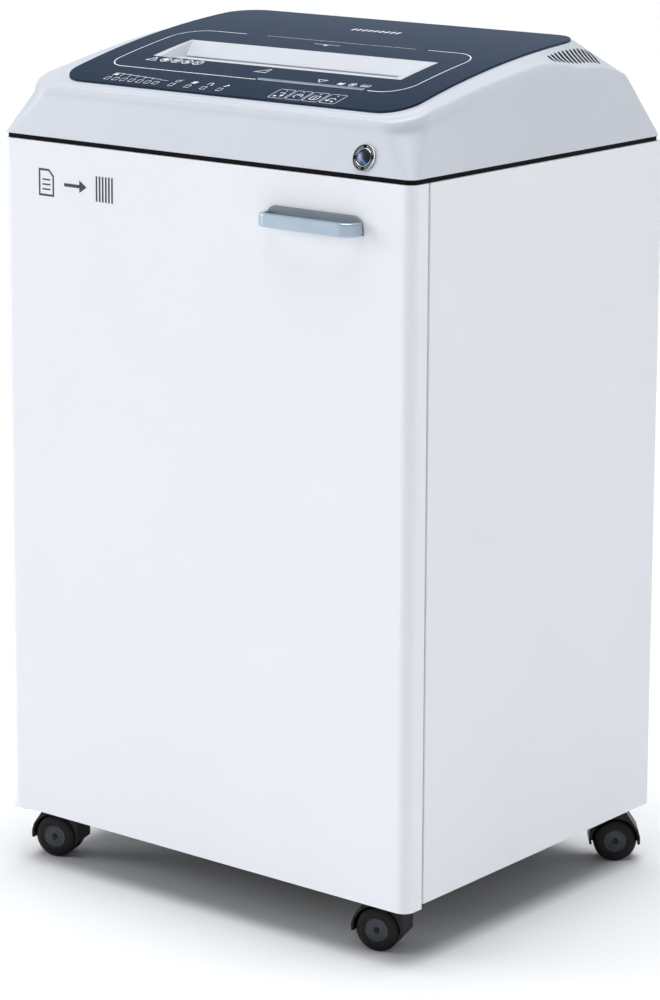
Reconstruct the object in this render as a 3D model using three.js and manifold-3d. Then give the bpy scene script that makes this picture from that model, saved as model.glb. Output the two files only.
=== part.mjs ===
// Free-standing office paper shredder: cabinet on casters, hinged door, waste bin, and a moulded
// head that holds the feed throat, the cutting unit and its drive.
// Millimetres. X to the right, Y to the back, Z up. The front is at -Y and the floor is z = 0.
import * as THREE from 'three';
import { mergeVertices } from 'three/addons/utils/BufferGeometryUtils.js';
import Module from 'manifold-3d';

const wasm = await Module();
wasm.setup();

// ---------------------------------------------------------------- driving dimensions
const gap = 0.3; // between pieces that touch
const width = 530; // over the side panels
const depth = 422; // door face to rear edge of the sides
const cabinetHeight = 716; // door height
const groundClearance = 60; // floor to the door's lower edge
const headHeight = 90.5; // head rim to the top surface at mid depth

const board = 18; // side, floor and rail board
const backBoard = 7;
const backRecess = 5; // back board in from the rear edges of the sides
const sideShort = 4; // the sides end this much above the door's lower edge
const doorThick = 25;
const doorSeam = 3; // door to the front edges of the sides
const headGap = 5; // door top to head rim
const trayInset = 10;

const handleLength = 120;
const handleHeight = 13.4;
const handleReach = 22;
const handleBar = 6; // thickness of the front bar and its return ends
const handlePlate = 1.6; // plate between the bar's ends and the door
const handlePlateRise = 5.5; // plate above the bar
const handleFromSide = 117; // handle centre to the right side
const handleFromTop = 46.3; // handle centre to the door's top edge

const coverWall = 3;
const coverFlange = 15; // rim flange that lands on the tray
const shoulderIn = 14.5; // rim to shoulder line, at the sides
const shoulderFront = 13;
const shoulderBack = 25;
const rimRadius = 10;
const shoulderRadius = 33;
const panelSide = 42.5; // rim to panel edge, at the sides
const panelFront = 36;
const panelBack = 83;
const panelFrontRadius = 33;
const panelBackRadius = 35;
const panelThick = 2.4;
const panelLedge = 3; // flat ground around the panel
const topRise = 29.5; // how the top surface climbs from mid depth to the back
const topCrown = 17.5;

const driveBay = 105; // room beside the feed opening for the gears
const feedFromFront = 116; // door face to the front edge of the feed opening
const feedDepth = 61;
const feedWall = 3.4;
const feedRim = 1.8; // rim of the insert over the end walls
const ledgeDepth = 33; // flat ledge in front of the slit
const slitWidth = 7;
const slitDrop = 17.5; // back slope, from its upper edge to the slit
const throatBottom = 57; // lower end of the throat above the head rim

const cutterSpacing = 46; // between the two shafts
const cutterBite = 6; // how far the discs of one shaft reach between those of the other
const cutterRise = 34; // shafts above the head rim
const discThick = 13;
const discPitch = 28;
const coreClear = 2; // disc edge to the core of the other shaft
const shaftRadius = 8;
const unitPlate = 5; // side plates of the cutting unit
const runFit = 0.4; // radial play of shafts in their holes

const gearModule = 2;
const syncTeeth = 23;
const driveTeeth = 30;
const pinionTeeth = 14;
const fastModule = 1.5;
const wheelTeeth = 48;
const motorTeeth = 14;
const backlash = 0.5;
const syncWide = 10;
const driveWide = 12;
const fastWide = 9;
const planeGap = 3; // between neighbouring gear planes
const reductionAngle = 15; // degrees above level, rear cutter to reduction axle
const motorAngle = 2;
const motorRadius = 42;
const motorLength = 150;
const motorShaft = 5;
const fanRadius = 30;

const binWall = 3;
const binSideRoom = 25; // bin to the inner faces of the sides
const binFrontRoom = 13;
const binBackRoom = 16;
const binTopRoom = 136; // bin rim to the top of the cabinet

const casterInset = 47; // swivel axis to the sides
const casterFront = 49; // swivel axis to the door face
const casterBack = 23; // swivel axis to the rear edge
const wheelRadius = 23;
const wheelWide = 13.5;
const casterWeb = 5;
const casterTrail = 17;
const hoodClear = 1.8;
const hoodThick = 2.5;
const axleRadius = 3;

const ventCount = 12;
const ventPitch = 6.6;
const ventWide = 3.2;

// ---------------------------------------------------------------- places worked out from them
const halfWidth = width / 2;
const halfDepth = depth / 2;
const doorBottom = groundClearance;
const cabinetTop = groundClearance + cabinetHeight;
const headBase = cabinetTop + headGap;
const sideBottom = doorBottom + sideShort;
const innerX = halfWidth - board;
const doorFace = -halfDepth;
const doorBack = doorFace + doorThick;
const sideFront = doorBack + doorSeam;
const backBoardFront = halfDepth - backRecess - backBoard;
const floorTop = sideBottom + board;
const pivotRadius = doorThick / 2;
const pivotX = -halfWidth + pivotRadius;
const pivotY = doorFace + pivotRadius;
const feedFront = doorFace + feedFromFront;
const feedBack = feedFront + feedDepth;
const feedHalf = halfWidth - driveBay + 1;
const slitFront = feedFront + ledgeDepth;
const slitBack = slitFront + slitWidth;
const cutterZ = headBase + cutterRise;
const cutterRadius = (cutterSpacing + cutterBite) / 2;
const coreRadius = cutterSpacing - cutterRadius - coreClear;
const syncModule = cutterSpacing / syncTeeth;
const cutterMid = (slitFront + slitBack) / 2;
const cutterFrontY = cutterMid - cutterSpacing / 2;
const cutterRearY = cutterMid + cutterSpacing / 2;
const unitInner = feedHalf; // inner faces of the unit's side plates
const unitOuter = unitInner + unitPlate;

const rad = THREE.MathUtils.degToRad;
const part = new THREE.Group();
part.name = 'paper_shredder';

// ---------------------------------------------------------------- finishes
const finish = (color, roughness, metalness = 0) =>
  new THREE.MeshStandardMaterial({ color, roughness, metalness });
const whiteBoard = finish(0xe5e8ef, 0.45);
const whitePlastic = finish(0xe9ecf2, 0.38);
const blackPlastic = finish(0x1b1c1f, 0.5);
const panelBlue = finish(0x46546a, 0.32);
const silverPlastic = finish(0xb5c3d0, 0.35, 0.2);
const greyPlastic = finish(0x8d95a0, 0.5);
const steel = finish(0x9a9da2, 0.35, 1);
const darkSteel = finish(0x5d6064, 0.45, 1);
const tyre = finish(0x141416, 0.6);
const boardGreen = finish(0x1e5a3a, 0.5);
const lensBlue = finish(0x1c3a78, 0.12);

// ---------------------------------------------------------------- solids
// Turns a closed geometry into a manifold-3d solid that faces outwards.
function solid(geometry) {
  const bare = geometry.clone();
  bare.deleteAttribute('normal');
  bare.deleteAttribute('uv');
  const merged = mergeVertices(bare, 1e-4);
  const position = merged.attributes.position;
  const triangles = [];
  let volume = 0;
  const corner = [new THREE.Vector3(), new THREE.Vector3(), new THREE.Vector3()];
  for (let i = 0; i < merged.index.count; i += 3) {
    const face = [0, 1, 2].map((k) => merged.index.getX(i + k));
    if (face[0] === face[1] || face[1] === face[2] || face[2] === face[0]) continue;
    triangles.push(face);
    face.forEach((vertex, k) => corner[k].fromBufferAttribute(position, vertex));
    volume += corner[0].dot(corner[1].clone().cross(corner[2]));
  }
  const order = volume < 0 ? triangles.map(([a, b, c]) => [a, c, b]) : triangles;
  return new wasm.Manifold(new wasm.Mesh({
    numProp: 3,
    vertProperties: new Float32Array(position.array),
    triVerts: new Uint32Array(order.flat()),
  }));
}

// Turns a solid back into a geometry with flat faces.
function geometryOf(body) {
  const mesh = body.getMesh();
  const geometry = new THREE.BufferGeometry();
  const points = new Float32Array(mesh.numVert * 3);
  for (let i = 0; i < mesh.numVert; i += 1) {
    for (let k = 0; k < 3; k += 1) points[3 * i + k] = mesh.vertProperties[mesh.numProp * i + k];
  }
  geometry.setAttribute('position', new THREE.BufferAttribute(points, 3));
  geometry.setIndex([...mesh.triVerts]);
  geometry.computeVertexNormals();
  return geometry;
}

const joined = (...bodies) => bodies.reduce((sum, body) => sum.add(body));
const cut = (body, ...tools) => tools.reduce((rest, tool) => rest.subtract(tool), body);

function box(x0, x1, y0, y1, z0, z1) {
  const geometry = new THREE.BoxGeometry(x1 - x0, y1 - y0, z1 - z0);
  geometry.translate((x0 + x1) / 2, (y0 + y1) / 2, (z0 + z1) / 2);
  return solid(geometry);
}

function extruded(outline, length) {
  const shape = new THREE.Shape(outline.map(([u, v]) => new THREE.Vector2(u, v)));
  return new THREE.ExtrudeGeometry(shape, { depth: length, bevelEnabled: false, curveSegments: 8 });
}

// An outline in X and Y, standing from z0 to z1.
function column(outline, z0, z1) {
  return solid(extruded(outline, z1 - z0).translate(0, 0, z0));
}

const xzAlongY = new THREE.Matrix4().makeBasis(
  new THREE.Vector3(1, 0, 0),
  new THREE.Vector3(0, 0, 1),
  new THREE.Vector3(0, -1, 0),
);

// An outline in X and Z, reaching from y0 to y1.
function slabY(outline, y0, y1) {
  return solid(extruded(outline, y1 - y0).applyMatrix4(xzAlongY).translate(0, y1, 0));
}

const yzAlongX = new THREE.Matrix4().makeBasis(
  new THREE.Vector3(0, 1, 0),
  new THREE.Vector3(0, 0, 1),
  new THREE.Vector3(1, 0, 0),
);

// An outline in Y and Z, lying from x0 to x1.
function barX(outline, x0, x1) {
  return solid(extruded(outline, x1 - x0).applyMatrix4(yzAlongX).translate(x0, 0, 0));
}

// A turned piece about the X axis through (y, z); profile points are [x, radius].
function turnedX(profile, y, z, segments) {
  const points = profile.map(([x, radius]) => new THREE.Vector2(radius, x));
  const geometry = new THREE.LatheGeometry(points, segments);
  geometry.rotateZ(-Math.PI / 2);
  return solid(geometry.translate(0, y, z));
}

function rodX(radius, x0, x1, y, z, segments = 16) {
  return turnedX([[x0, 0], [x0, radius], [x1, radius], [x1, 0]], y, z, segments);
}

function rodY(radius, y0, y1, x, z, segments = 14) {
  const geometry = new THREE.CylinderGeometry(radius, radius, y1 - y0, segments);
  return solid(geometry.translate(x, (y0 + y1) / 2, z));
}

function rodZ(radius, z0, z1, x, y, segments = 16) {
  const geometry = new THREE.CylinderGeometry(radius, radius, z1 - z0, segments);
  return solid(geometry.rotateX(Math.PI / 2).translate(x, y, (z0 + z1) / 2));
}

function add(name, body, material, parent = part) {
  const mesh = new THREE.Mesh(geometryOf(body), material);
  mesh.name = name;
  parent.add(mesh);
  return mesh;
}

// Points of an arc, both ends included.
function arc(x, y, radius, from, to, steps) {
  return Array.from({ length: steps + 1 }, (_, i) => {
    const angle = rad(from + ((to - from) * i) / steps);
    return [x + radius * Math.cos(angle), y + radius * Math.sin(angle)];
  });
}

// ---------------------------------------------------------------- cabinet
function buildCabinet() {
  const sides = { cabinet_left_side: -1, cabinet_right_side: 1 };
  for (const [name, sign] of Object.entries(sides)) {
    const xs = [sign * innerX, sign * halfWidth].sort((a, b) => a - b);
    add(name, box(xs[0], xs[1], sideFront, halfDepth, sideBottom, cabinetTop), whiteBoard);
  }
  const between = innerX - gap;
  const floor = box(-between, between, sideFront, backBoardFront - gap, sideBottom, floorTop);
  add('cabinet_floor', floor, whiteBoard);
  const railBottom = cabinetTop - 40;
  const railFront = sideFront + 2;
  const railBack = railFront + board;
  const switchHole = rodY(plungerRadius + runFit, railFront - 1, railBack + 1, switchX, switchZ);
  const rail = box(-between, between, railFront, railBack, railBottom, cabinetTop);
  add('front_rail', cut(rail, switchHole), whiteBoard);
  const rearRail = box(-between, between, backBoardFront - gap - board, backBoardFront - gap,
    railBottom, cabinetTop);
  const inletRoom = box(inletX - 40, rockerX + 30, backBoardFront - gap - board - 1,
    backBoardFront, railBottom - 1, cabinetTop - 1 - board / 2);
  add('rear_rail', cut(rearRail, inletRoom), whiteBoard);

  const back = box(-between, between, backBoardFront, backBoardFront + backBoard,
    sideBottom, cabinetTop);
  const inletHole = box(inletX - inletHalf - gap, inletX + inletHalf + gap, backBoardFront - 1,
    backBoardFront + backBoard + 1, inletZ - inletTall - gap, inletZ + inletTall + gap);
  const rockerHole = box(rockerX - rockerHalf - gap, rockerX + rockerHalf + gap,
    backBoardFront - 1, backBoardFront + backBoard + 1,
    inletZ - rockerTall - gap, inletZ + rockerTall + gap);
  add('cabinet_back', cut(back, inletHole, rockerHole), whiteBoard);
}

// Door interlock switch behind the front rail
const plungerRadius = 2.2;
const plungerTravel = 3;
const switchX = innerX - 14;
const switchZ = cabinetTop - 24;
const switchBody = { half: 9, tall: 6, deep: 26 };

function buildDoorSwitch() {
  const front = sideFront + 2 + board + gap;
  const { half, tall, deep } = switchBody;
  const body = box(switchX - half, switchX + half, front, front + deep,
    switchZ - tall, switchZ + tall);
  const plungerBack = front + deep - 8;
  const bore = rodY(plungerRadius + runFit, front - 1, plungerBack + gap, switchX, switchZ);
  add('door_switch', cut(body, bore), blackPlastic);
  const plunger = rodY(plungerRadius, doorBack + gap, plungerBack, switchX, switchZ);
  add('door_switch_plunger', plunger, whitePlastic);
}

// ---------------------------------------------------------------- door
const pinRadius = 4;
const pinDepth = 13;

const bracketThick = 2.7;

function buildDoor() {
  const outline = [
    ...arc(pivotX, pivotY, pivotRadius, 90, 270, 12),
    ...arc(halfWidth - pivotRadius, pivotY, pivotRadius, 270, 360, 6),
    [halfWidth, doorBack],
  ];
  const slab = column(outline, doorBottom, cabinetTop);
  const hole = pinRadius + runFit;
  const lowerHole = rodZ(hole, doorBottom - 1, doorBottom + pinDepth + 1, pivotX, pivotY);
  const upperHole = rodZ(hole, cabinetTop - pinDepth - 1, cabinetTop + 1, pivotX, pivotY);
  add('door', cut(slab, lowerHole, upperHole), whiteBoard);

  const underDoor = doorBottom - gap - bracketThick;
  const underFloor = sideBottom - gap - bracketThick;
  const bend = sideFront - 1;
  const bracket = barX([
    [pivotY - 9, underDoor], [bend + bracketThick, underDoor], [bend + bracketThick, underFloor],
    [bend + 38, underFloor], [bend + 38, underFloor + bracketThick],
    [bend, underFloor + bracketThick], [bend, underDoor + bracketThick],
    [pivotY - 9, underDoor + bracketThick],
  ], -halfWidth + 2, pivotX + 10);
  const pin = rodZ(pinRadius, underDoor + 0.5, doorBottom + pinDepth, pivotX, pivotY);
  add('door_pivot_lower', joined(bracket, pin), steel);
  const trayTop = headBase - gap;
  const upperPin = rodZ(pinRadius, cabinetTop - pinDepth, trayTop - 1, pivotX, pivotY);
  add('door_pivot_pin_upper', upperPin, steel);
}

function buildHandle() {
  const x = halfWidth - handleFromSide;
  const z = cabinetTop - handleFromTop;
  const back = doorFace - gap;
  const front = doorFace - handleReach;
  const half = handleLength / 2;
  const bend = 15;
  const outer = [
    [x - half, back], ...arc(x - half + bend, front + bend, bend, 180, 270, 6),
    ...arc(x + half - bend, front + bend, bend, 270, 360, 6), [x + half, back],
  ];
  const inner = [
    [x - half + handleBar, back + 1],
    ...arc(x - half + bend, front + bend, bend - handleBar, 180, 270, 6),
    ...arc(x + half - bend, front + bend, bend - handleBar, 270, 360, 6),
    [x + half - handleBar, back + 1],
  ];
  const zs = [z - handleHeight / 2, z + handleHeight / 2];
  const loop = cut(column(outer, ...zs), column(inner, zs[0] - 1, zs[1] + 1));
  const top = zs[1] + handlePlateRise;
  const plate = slabY([
    [x - half, zs[0]], [x + half, zs[0]], ...arc(x + half - 13, top - 13, 13, 0, 90, 6),
    ...arc(x - half + 13, top - 13, 13, 90, 180, 6),
  ], back - handlePlate, back);
  add('door_handle', joined(loop, plate), silverPlastic);
}

function buildCatch() {
  const z = cabinetTop - 20;
  const x = halfWidth - handleFromSide;
  const railFront = sideFront + 2;
  const strikeThick = 1.4;
  const strikeBack = doorBack + gap + strikeThick;
  const strike = box(x - 20, x + 20, doorBack + gap, strikeBack, z - 7, z + 7);
  add('catch_strike', strike, steel);
  const magnet = box(x - 25, x + 25, strikeBack + gap, railFront - gap, z - 9, z + 9);
  add('catch_magnet', magnet, greyPlastic);
}

// ---------------------------------------------------------------- waste bin
function buildBin() {
  const x = innerX - binSideRoom;
  const front = sideFront + binFrontRoom;
  const back = backBoardFront - binBackRoom;
  const bottom = floorTop + gap;
  const top = cabinetTop - binTopRoom;
  const tub = box(-x, x, front, back, bottom, top);
  const inside = box(-x + binWall, x - binWall, front + binWall, back - binWall,
    bottom + binWall, top + 1);
  const gripZ = top - 55;
  const grip = box(-60, 60, front - 1, front + binWall + 1, gripZ, gripZ + 28);
  const rim = cut(
    box(-x - 5, x + 5, front - 5, back + 5, top - 4, top),
    box(-x + 1, x - 1, front + 1, back - 1, top - 5, top + 1),
  );
  add('waste_bin', cut(joined(tub, rim), inside, grip), greyPlastic);
}

// ---------------------------------------------------------------- head
const arcSteps = 5;
const sideSteps = 8;
const endSteps = 3;

function between(start, end, steps) {
  return Array.from({ length: steps - 1 }, (_, i) => {
    const t = (i + 1) / steps;
    return [start[0] + (end[0] - start[0]) * t, start[1] + (end[1] - start[1]) * t];
  });
}

// A rounded rectangle in plan, counter-clockwise, always with the same number of points.
function ring(half, front, back, frontRadius, backRadius) {
  const corners = [
    arc(half - frontRadius, front + frontRadius, frontRadius, 270, 360, arcSteps),
    arc(half - backRadius, back - backRadius, backRadius, 0, 90, arcSteps),
    arc(-half + backRadius, back - backRadius, backRadius, 90, 180, arcSteps),
    arc(-half + frontRadius, front + frontRadius, frontRadius, 180, 270, arcSteps),
  ];
  return corners.flatMap((corner, i) => {
    const next = corners[(i + 1) % 4];
    const steps = i % 2 === 0 ? sideSteps : endSteps;
    return [...corner, ...between(corner[arcSteps], next[0], steps)];
  });
}

// Height of the top surface, which climbs to the back.
function topZ(y) {
  const v = y / halfDepth;
  return headBase + headHeight + topRise * v - topCrown * v * v;
}

// Height of the shoulder line above the rim, from the front to the back.
const shoulderCurve = new THREE.CatmullRomCurve3([
  [-0.94, 39.5], [-0.82, 41.5], [-0.66, 47.5], [-0.48, 58], [-0.2, 72], [0, 80.5],
  [0.1, 82], [0.31, 79], [0.51, 77], [0.6, 75], [0.7, 70], [0.8, 64], [0.89, 59.5],
].map(([v, h]) => new THREE.Vector3(v, h, 0)), false, 'centripetal').getPoints(60);

function shoulderZ(y) {
  const v = y / halfDepth;
  const last = shoulderCurve.length - 1;
  if (v <= shoulderCurve[0].x) return headBase + shoulderCurve[0].y;
  if (v >= shoulderCurve[last].x) return headBase + shoulderCurve[last].y;
  const i = shoulderCurve.findIndex((point) => point.x >= v);
  const [a, b] = [shoulderCurve[i - 1], shoulderCurve[i]];
  return headBase + a.y + ((b.y - a.y) * (v - a.x)) / (b.x - a.x);
}

// How the band between shoulder and panel climbs: [way across, way up]. Towards the back the
// rounded ledge runs out into a plain slope, where way up and way across are the same.
const bandSteps = [[0.06, 0.42], [0.18, 0.76], [0.42, 0.9], [0.6, 0.93], [0.8, 0.99]];
const slopeFrom = 0.05;
const slopeTo = 0.5;

function climb(across, up, y) {
  const share = THREE.MathUtils.smoothstep(y / halfDepth, slopeFrom, slopeTo);
  return up + (across - up) * share;
}

// The head as one closed body, moved in by a wall on every side.
function headBody(inset, bottom) {
  const rim = ring(halfWidth - inset, -halfDepth + inset, halfDepth - inset, rimRadius, rimRadius);
  const shoulder = ring(halfWidth - shoulderIn - inset, -halfDepth + shoulderFront + inset,
    halfDepth - shoulderBack - inset, shoulderRadius, shoulderRadius);
  const edge = ring(halfWidth - panelSide + panelLedge, -halfDepth + panelFront - panelLedge,
    halfDepth - panelBack + panelLedge, panelFrontRadius + panelLedge,
    panelBackRadius + panelLedge);
  const rims = [rim.map(([x, y]) => [x, y, bottom])];
  if (bottom < headBase) rims.push(rim.map(([x, y]) => [x, y, headBase]));
  rims.push(shoulder.map(([x, y]) => [x, y, shoulderZ(y) - inset]));
  for (const [across, up] of bandSteps) {
    rims.push(shoulder.map(([x, y], i) => {
      const low = shoulderZ(y) - inset;
      const high = topZ(edge[i][1]) - inset;
      return [x + (edge[i][0] - x) * across, y + (edge[i][1] - y) * across,
        low + (high - low) * climb(across, up, y)];
    }));
  }
  const middle = (-halfDepth + panelFront + halfDepth - panelBack) / 2;
  for (const share of [1, 0.75, 0.5, 0.25]) {
    rims.push(edge.map(([x, y]) => {
      const inY = middle + (y - middle) * share;
      return [x * share, inY, topZ(inY) - inset];
    }));
  }
  return lofted(rims, [0, 0, bottom], [0, middle, topZ(middle) - inset]);
}

// A closed body through rings of equal count, capped by a fan at each end.
function lofted(rings, bottomPoint, topPoint) {
  const count = rings[0].length;
  const points = [...rings.flat(), bottomPoint, topPoint];
  const low = points.length - 2;
  const high = points.length - 1;
  const faces = [];
  for (let i = 0; i < count; i += 1) {
    const next = (i + 1) % count;
    faces.push([low, next, i]);
    for (let k = 0; k + 1 < rings.length; k += 1) {
      const [a, b] = [k * count + i, k * count + next];
      faces.push([a, b, b + count], [a, b + count, a + count]);
    }
    const top = (rings.length - 1) * count;
    faces.push([top + i, top + next, high]);
  }
  return new wasm.Manifold(new wasm.Mesh({
    numProp: 3,
    vertProperties: new Float32Array(points.flat()),
    triVerts: new Uint32Array(faces.flat()),
  }));
}

const headOutside = headBody(0, headBase);
const farUp = headBase + 2 * headHeight;
const panelUnder = gap;
const panelOver = gap + panelThick;

function buildCover() {
  const inside = headBody(coverWall, headBase - 10);
  const flange = column(ring(halfWidth - trayInset - coverFlange,
    -halfDepth + trayInset + coverFlange, halfDepth - trayInset - coverFlange,
    rimRadius, rimRadius), headBase - 12, headBase + coverWall);
  const hollow = inside.trimByPlane([0, 0, 1], headBase + coverWall).add(flange);
  const feedRoom = box(-feedHalf - 2, feedHalf + 2, feedFront - 2, feedBack + 2,
    headBase + 30, farUp);
  const slots = ventSlots();
  add('head_cover', cut(headOutside, hollow, feedRoom, ...slots), whitePlastic);
}

// Cooling slots across the band on both sides; they grow longer towards the back.
function ventSlots() {
  const slots = [];
  const firstY = 0.25 * halfDepth;
  for (const side of [-1, 1]) {
    for (let i = 0; i < ventCount; i += 1) {
      const y = firstY + i * ventPitch;
      const grow = Math.min(1, i / 3);
      const inner = halfWidth - panelSide + 8 - 1.5 * grow;
      const outer = inner + 11 + 4 * grow;
      const xs = side < 0 ? [-outer, -inner] : [inner, outer];
      slots.push(box(xs[0], xs[1], y - ventWide / 2, y + ventWide / 2, headBase + 45, farUp));
    }
  }
  return slots;
}

function buildPanel() {
  const outline = ring(halfWidth - panelSide, -halfDepth + panelFront, halfDepth - panelBack,
    panelFrontRadius, panelBackRadius);
  const plate = column(outline, headBase, farUp)
    .intersect(headOutside.translate([0, 0, panelOver]))
    .subtract(headOutside.translate([0, 0, panelUnder]));
  const opening = box(-feedHalf, feedHalf, feedFront, feedBack, headBase, farUp);
  add('control_panel', cut(plate, opening), panelBlue);

  const barY = -halfDepth + 80;
  const bar = box(10, 145, barY - 1.6, barY + 1.6, headBase, farUp)
    .intersect(headOutside.translate([0, 0, panelOver + gap + 1.2]))
    .subtract(headOutside.translate([0, 0, panelOver + gap]));
  add('panel_trim_bar', bar, silverPlastic);
}

function buildThroat() {
  const front = feedFront + gap;
  const back = feedBack - gap;
  const ledgeZ = topZ(feedFront) - 1;
  const lipZ = topZ(feedBack) + panelOver;
  const bottom = headBase + throatBottom;
  const neckTop = lipZ - slitDrop;
  const outside = barX([
    [front, farUp], [front, ledgeZ - feedWall], [slitFront - feedWall, ledgeZ - feedWall + 1],
    [slitFront - feedWall, bottom], [slitBack + feedWall, bottom],
    [slitBack + feedWall, neckTop - feedWall], [back, lipZ - feedWall - 2], [back, farUp],
  ], -feedHalf + gap, feedHalf - gap);
  const hollow = barX([
    [front - 5, ledgeZ - 0.2], [slitFront, ledgeZ + 2], [slitFront, bottom - 1],
    [slitBack, bottom - 1], [slitBack, neckTop], [back - feedRim, lipZ - 0.4],
    [back - feedRim, farUp + 1], [front - 5, farUp + 1],
  ], -feedHalf + gap + feedWall, feedHalf - gap - feedWall);
  const insert = outside.intersect(headOutside.translate([0, 0, panelOver]));
  add('feed_throat', cut(insert, hollow), whitePlastic);
}

// Round badge on the head's front face
const badgeX = halfWidth - 61;
const badgeRise = 16;
const badgeRadius = 13.2;

function buildBadge() {
  const tilt = Math.atan2(shoulderFront, shoulderCurve[0].y);
  const holder = new THREE.Group();
  const out = gap + 0.2;
  holder.position.set(badgeX, -halfDepth + badgeRise * Math.tan(tilt), headBase + badgeRise);
  holder.rotation.x = -tilt;
  part.add(holder);
  const ringProfile = [[-out - 2.2, 10.2], [-out - 2.6, 11.6], [-out - 1.4, badgeRadius],
    [-out, badgeRadius], [-out, 10.2], [-out - 2.2, 10.2]];
  const lensProfile = [[-out - 3, 0], [-out - 2.6, 5], [-out - 1.6, 9.8], [-out, 9.8], [-out, 0]];
  const names = { badge_ring: [ringProfile, steel], badge_lens: [lensProfile, lensBlue] };
  for (const [name, [profile, material]] of Object.entries(names)) {
    const points = profile.map(([y, radius]) => new THREE.Vector2(radius, y));
    add(name, solid(new THREE.LatheGeometry(points, 24)), material, holder);
  }
}

function buildTray() {
  const top = headBase - gap;
  const bottom = cabinetTop + gap;
  const plate = column(ring(halfWidth - trayInset, -halfDepth + trayInset,
    halfDepth - trayInset, rimRadius, rimRadius), bottom, top);
  const tab = rodZ(pinRadius + 4.5, bottom, top, pivotX, pivotY);
  const tabRoot = box(pivotX, pivotX + 20, pivotY - 2, pivotY + 20, bottom, top);
  const pinHole = rodZ(pinRadius + gap, bottom - 1, top + 1, pivotX, pivotY);
  const dropHalf = unitInner - 4;
  const dropFront = cutterFrontY - cutterRadius - 2;
  const dropBack = cutterRearY + cutterRadius + 2;
  const drop = box(-dropHalf, dropHalf, dropFront, dropBack, bottom - 30, top + 1);
  const collar = box(-dropHalf - 3, dropHalf + 3, dropFront - 3, dropBack + 3, bottom - 25, top);
  add('head_base_tray', cut(joined(plate, tab, tabRoot, collar), pinHole, drop), blackPlastic);
}

// ---------------------------------------------------------------- cutting unit
const reductionReach = ((driveTeeth + pinionTeeth) * gearModule) / 2;
const reductionY = cutterRearY + reductionReach * Math.cos(rad(reductionAngle));
const reductionZ = cutterZ + reductionReach * Math.sin(rad(reductionAngle));
const motorReach = ((wheelTeeth + motorTeeth) * fastModule) / 2;
const motorY = reductionY + motorReach * Math.cos(rad(motorAngle));
const motorZ = reductionZ + motorReach * Math.sin(rad(motorAngle));
const reductionPin = 4;

function unitPlateBody(outline, sign, holes) {
  const xs = [sign * unitInner, sign * unitOuter].sort((a, b) => a - b);
  const drills = holes.map(([y, z, radius]) => rodX(radius, xs[0] - 1, xs[1] + 1, y, z));
  return cut(barX(outline, ...xs), ...drills);
}

function buildUnitPlates() {
  const foot = headBase;
  const front = cutterFrontY - cutterRadius - 6;
  const rear = cutterRearY + cutterRadius + 6;
  const low = cutterZ + cutterRadius - 3;
  const shafts = [cutterFrontY, cutterRearY].map((y) => [y, cutterZ, shaftRadius + runFit]);
  const rightOutline = [[front, foot], [rear, foot], [rear, low], [front, low]];
  add('unit_plate_right', unitPlateBody(rightOutline, 1, shafts), steel);
  const high = motorZ + motorRadius - 2;
  const end = motorY + motorRadius;
  const leftOutline = [
    [front, foot], [end, foot], [end, motorZ + 20], [end - 20, high], [motorY - 20, high],
    [rear, low], [front, low],
  ];
  const holes = [
    ...shafts, [reductionY, reductionZ, reductionPin + gap], [motorY, motorZ, motorShaft + 2],
  ];
  add('unit_plate_left', unitPlateBody(leftOutline, -1, holes), steel);
}

function buildCutters() {
  const inside = unitInner - 1;
  const discs = Math.floor((2 * inside - discThick) / discPitch);
  const shafts = { cutter_shaft_front: [cutterFrontY, 0], cutter_shaft_rear: [cutterRearY, 0.5] };
  for (const [name, [y, shift]] of Object.entries(shafts)) {
    const leftEnd = shift ? -drivePlane - driveWide : -syncPlane - syncWide;
    const profile = [[leftEnd, 0], [leftEnd, shaftRadius], [-inside, shaftRadius],
      [-inside, coreRadius]];
    const first = -((discs - 0.5) * discPitch) / 2 + shift * discPitch;
    for (let i = 0; i < discs; i += 1) {
      const x = first + i * discPitch - discPitch / 4;
      profile.push([x - discThick / 2, coreRadius], [x - discThick / 2, cutterRadius],
        [x + discThick / 2, cutterRadius], [x + discThick / 2, coreRadius]);
    }
    const rightEnd = syncPlane + syncWide;
    profile.push([inside, coreRadius], [inside, shaftRadius], [rightEnd, shaftRadius],
      [rightEnd, 0]);
    add(name, turnedX(profile, y, cutterZ, 16), darkSteel);
  }
}

// Stripper combs outside the two shafts; their fingers reach between the discs.
function buildCombs() {
  const inside = unitInner - 1;
  const discs = Math.floor((2 * inside - discThick) / discPitch);
  const fingerWide = discPitch - discThick - 2;
  const combs = { comb_front: [cutterFrontY, -1, 0], comb_rear: [cutterRearY, 1, 0.5] };
  for (const [name, [y, side, shift]] of Object.entries(combs)) {
    const outer = y + side * (cutterRadius + 5.5);
    const root = y + side * (cutterRadius + 2);
    const tip = y + side * (coreRadius + 1.5);
    const [y0, y1] = [outer, root].sort((a, b) => a - b);
    const [t0, t1] = [outer, tip].sort((a, b) => a - b);
    let comb = box(-inside + gap, inside - gap, y0, y1, cutterZ - 20, cutterZ + 20);
    const first = -((discs - 0.5) * discPitch) / 2 + shift * discPitch + discPitch / 4;
    for (let i = 0; i < discs - 1; i += 1) {
      const x = first + i * discPitch;
      comb = comb.add(box(x - fingerWide / 2, x + fingerWide / 2, t0, t1,
        cutterZ - 5, cutterZ + 5));
    }
    add(name, comb, steel);
  }
}

// ---------------------------------------------------------------- gears
const pressure = rad(20);
const involute = (angle) => Math.tan(angle) - angle;

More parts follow.
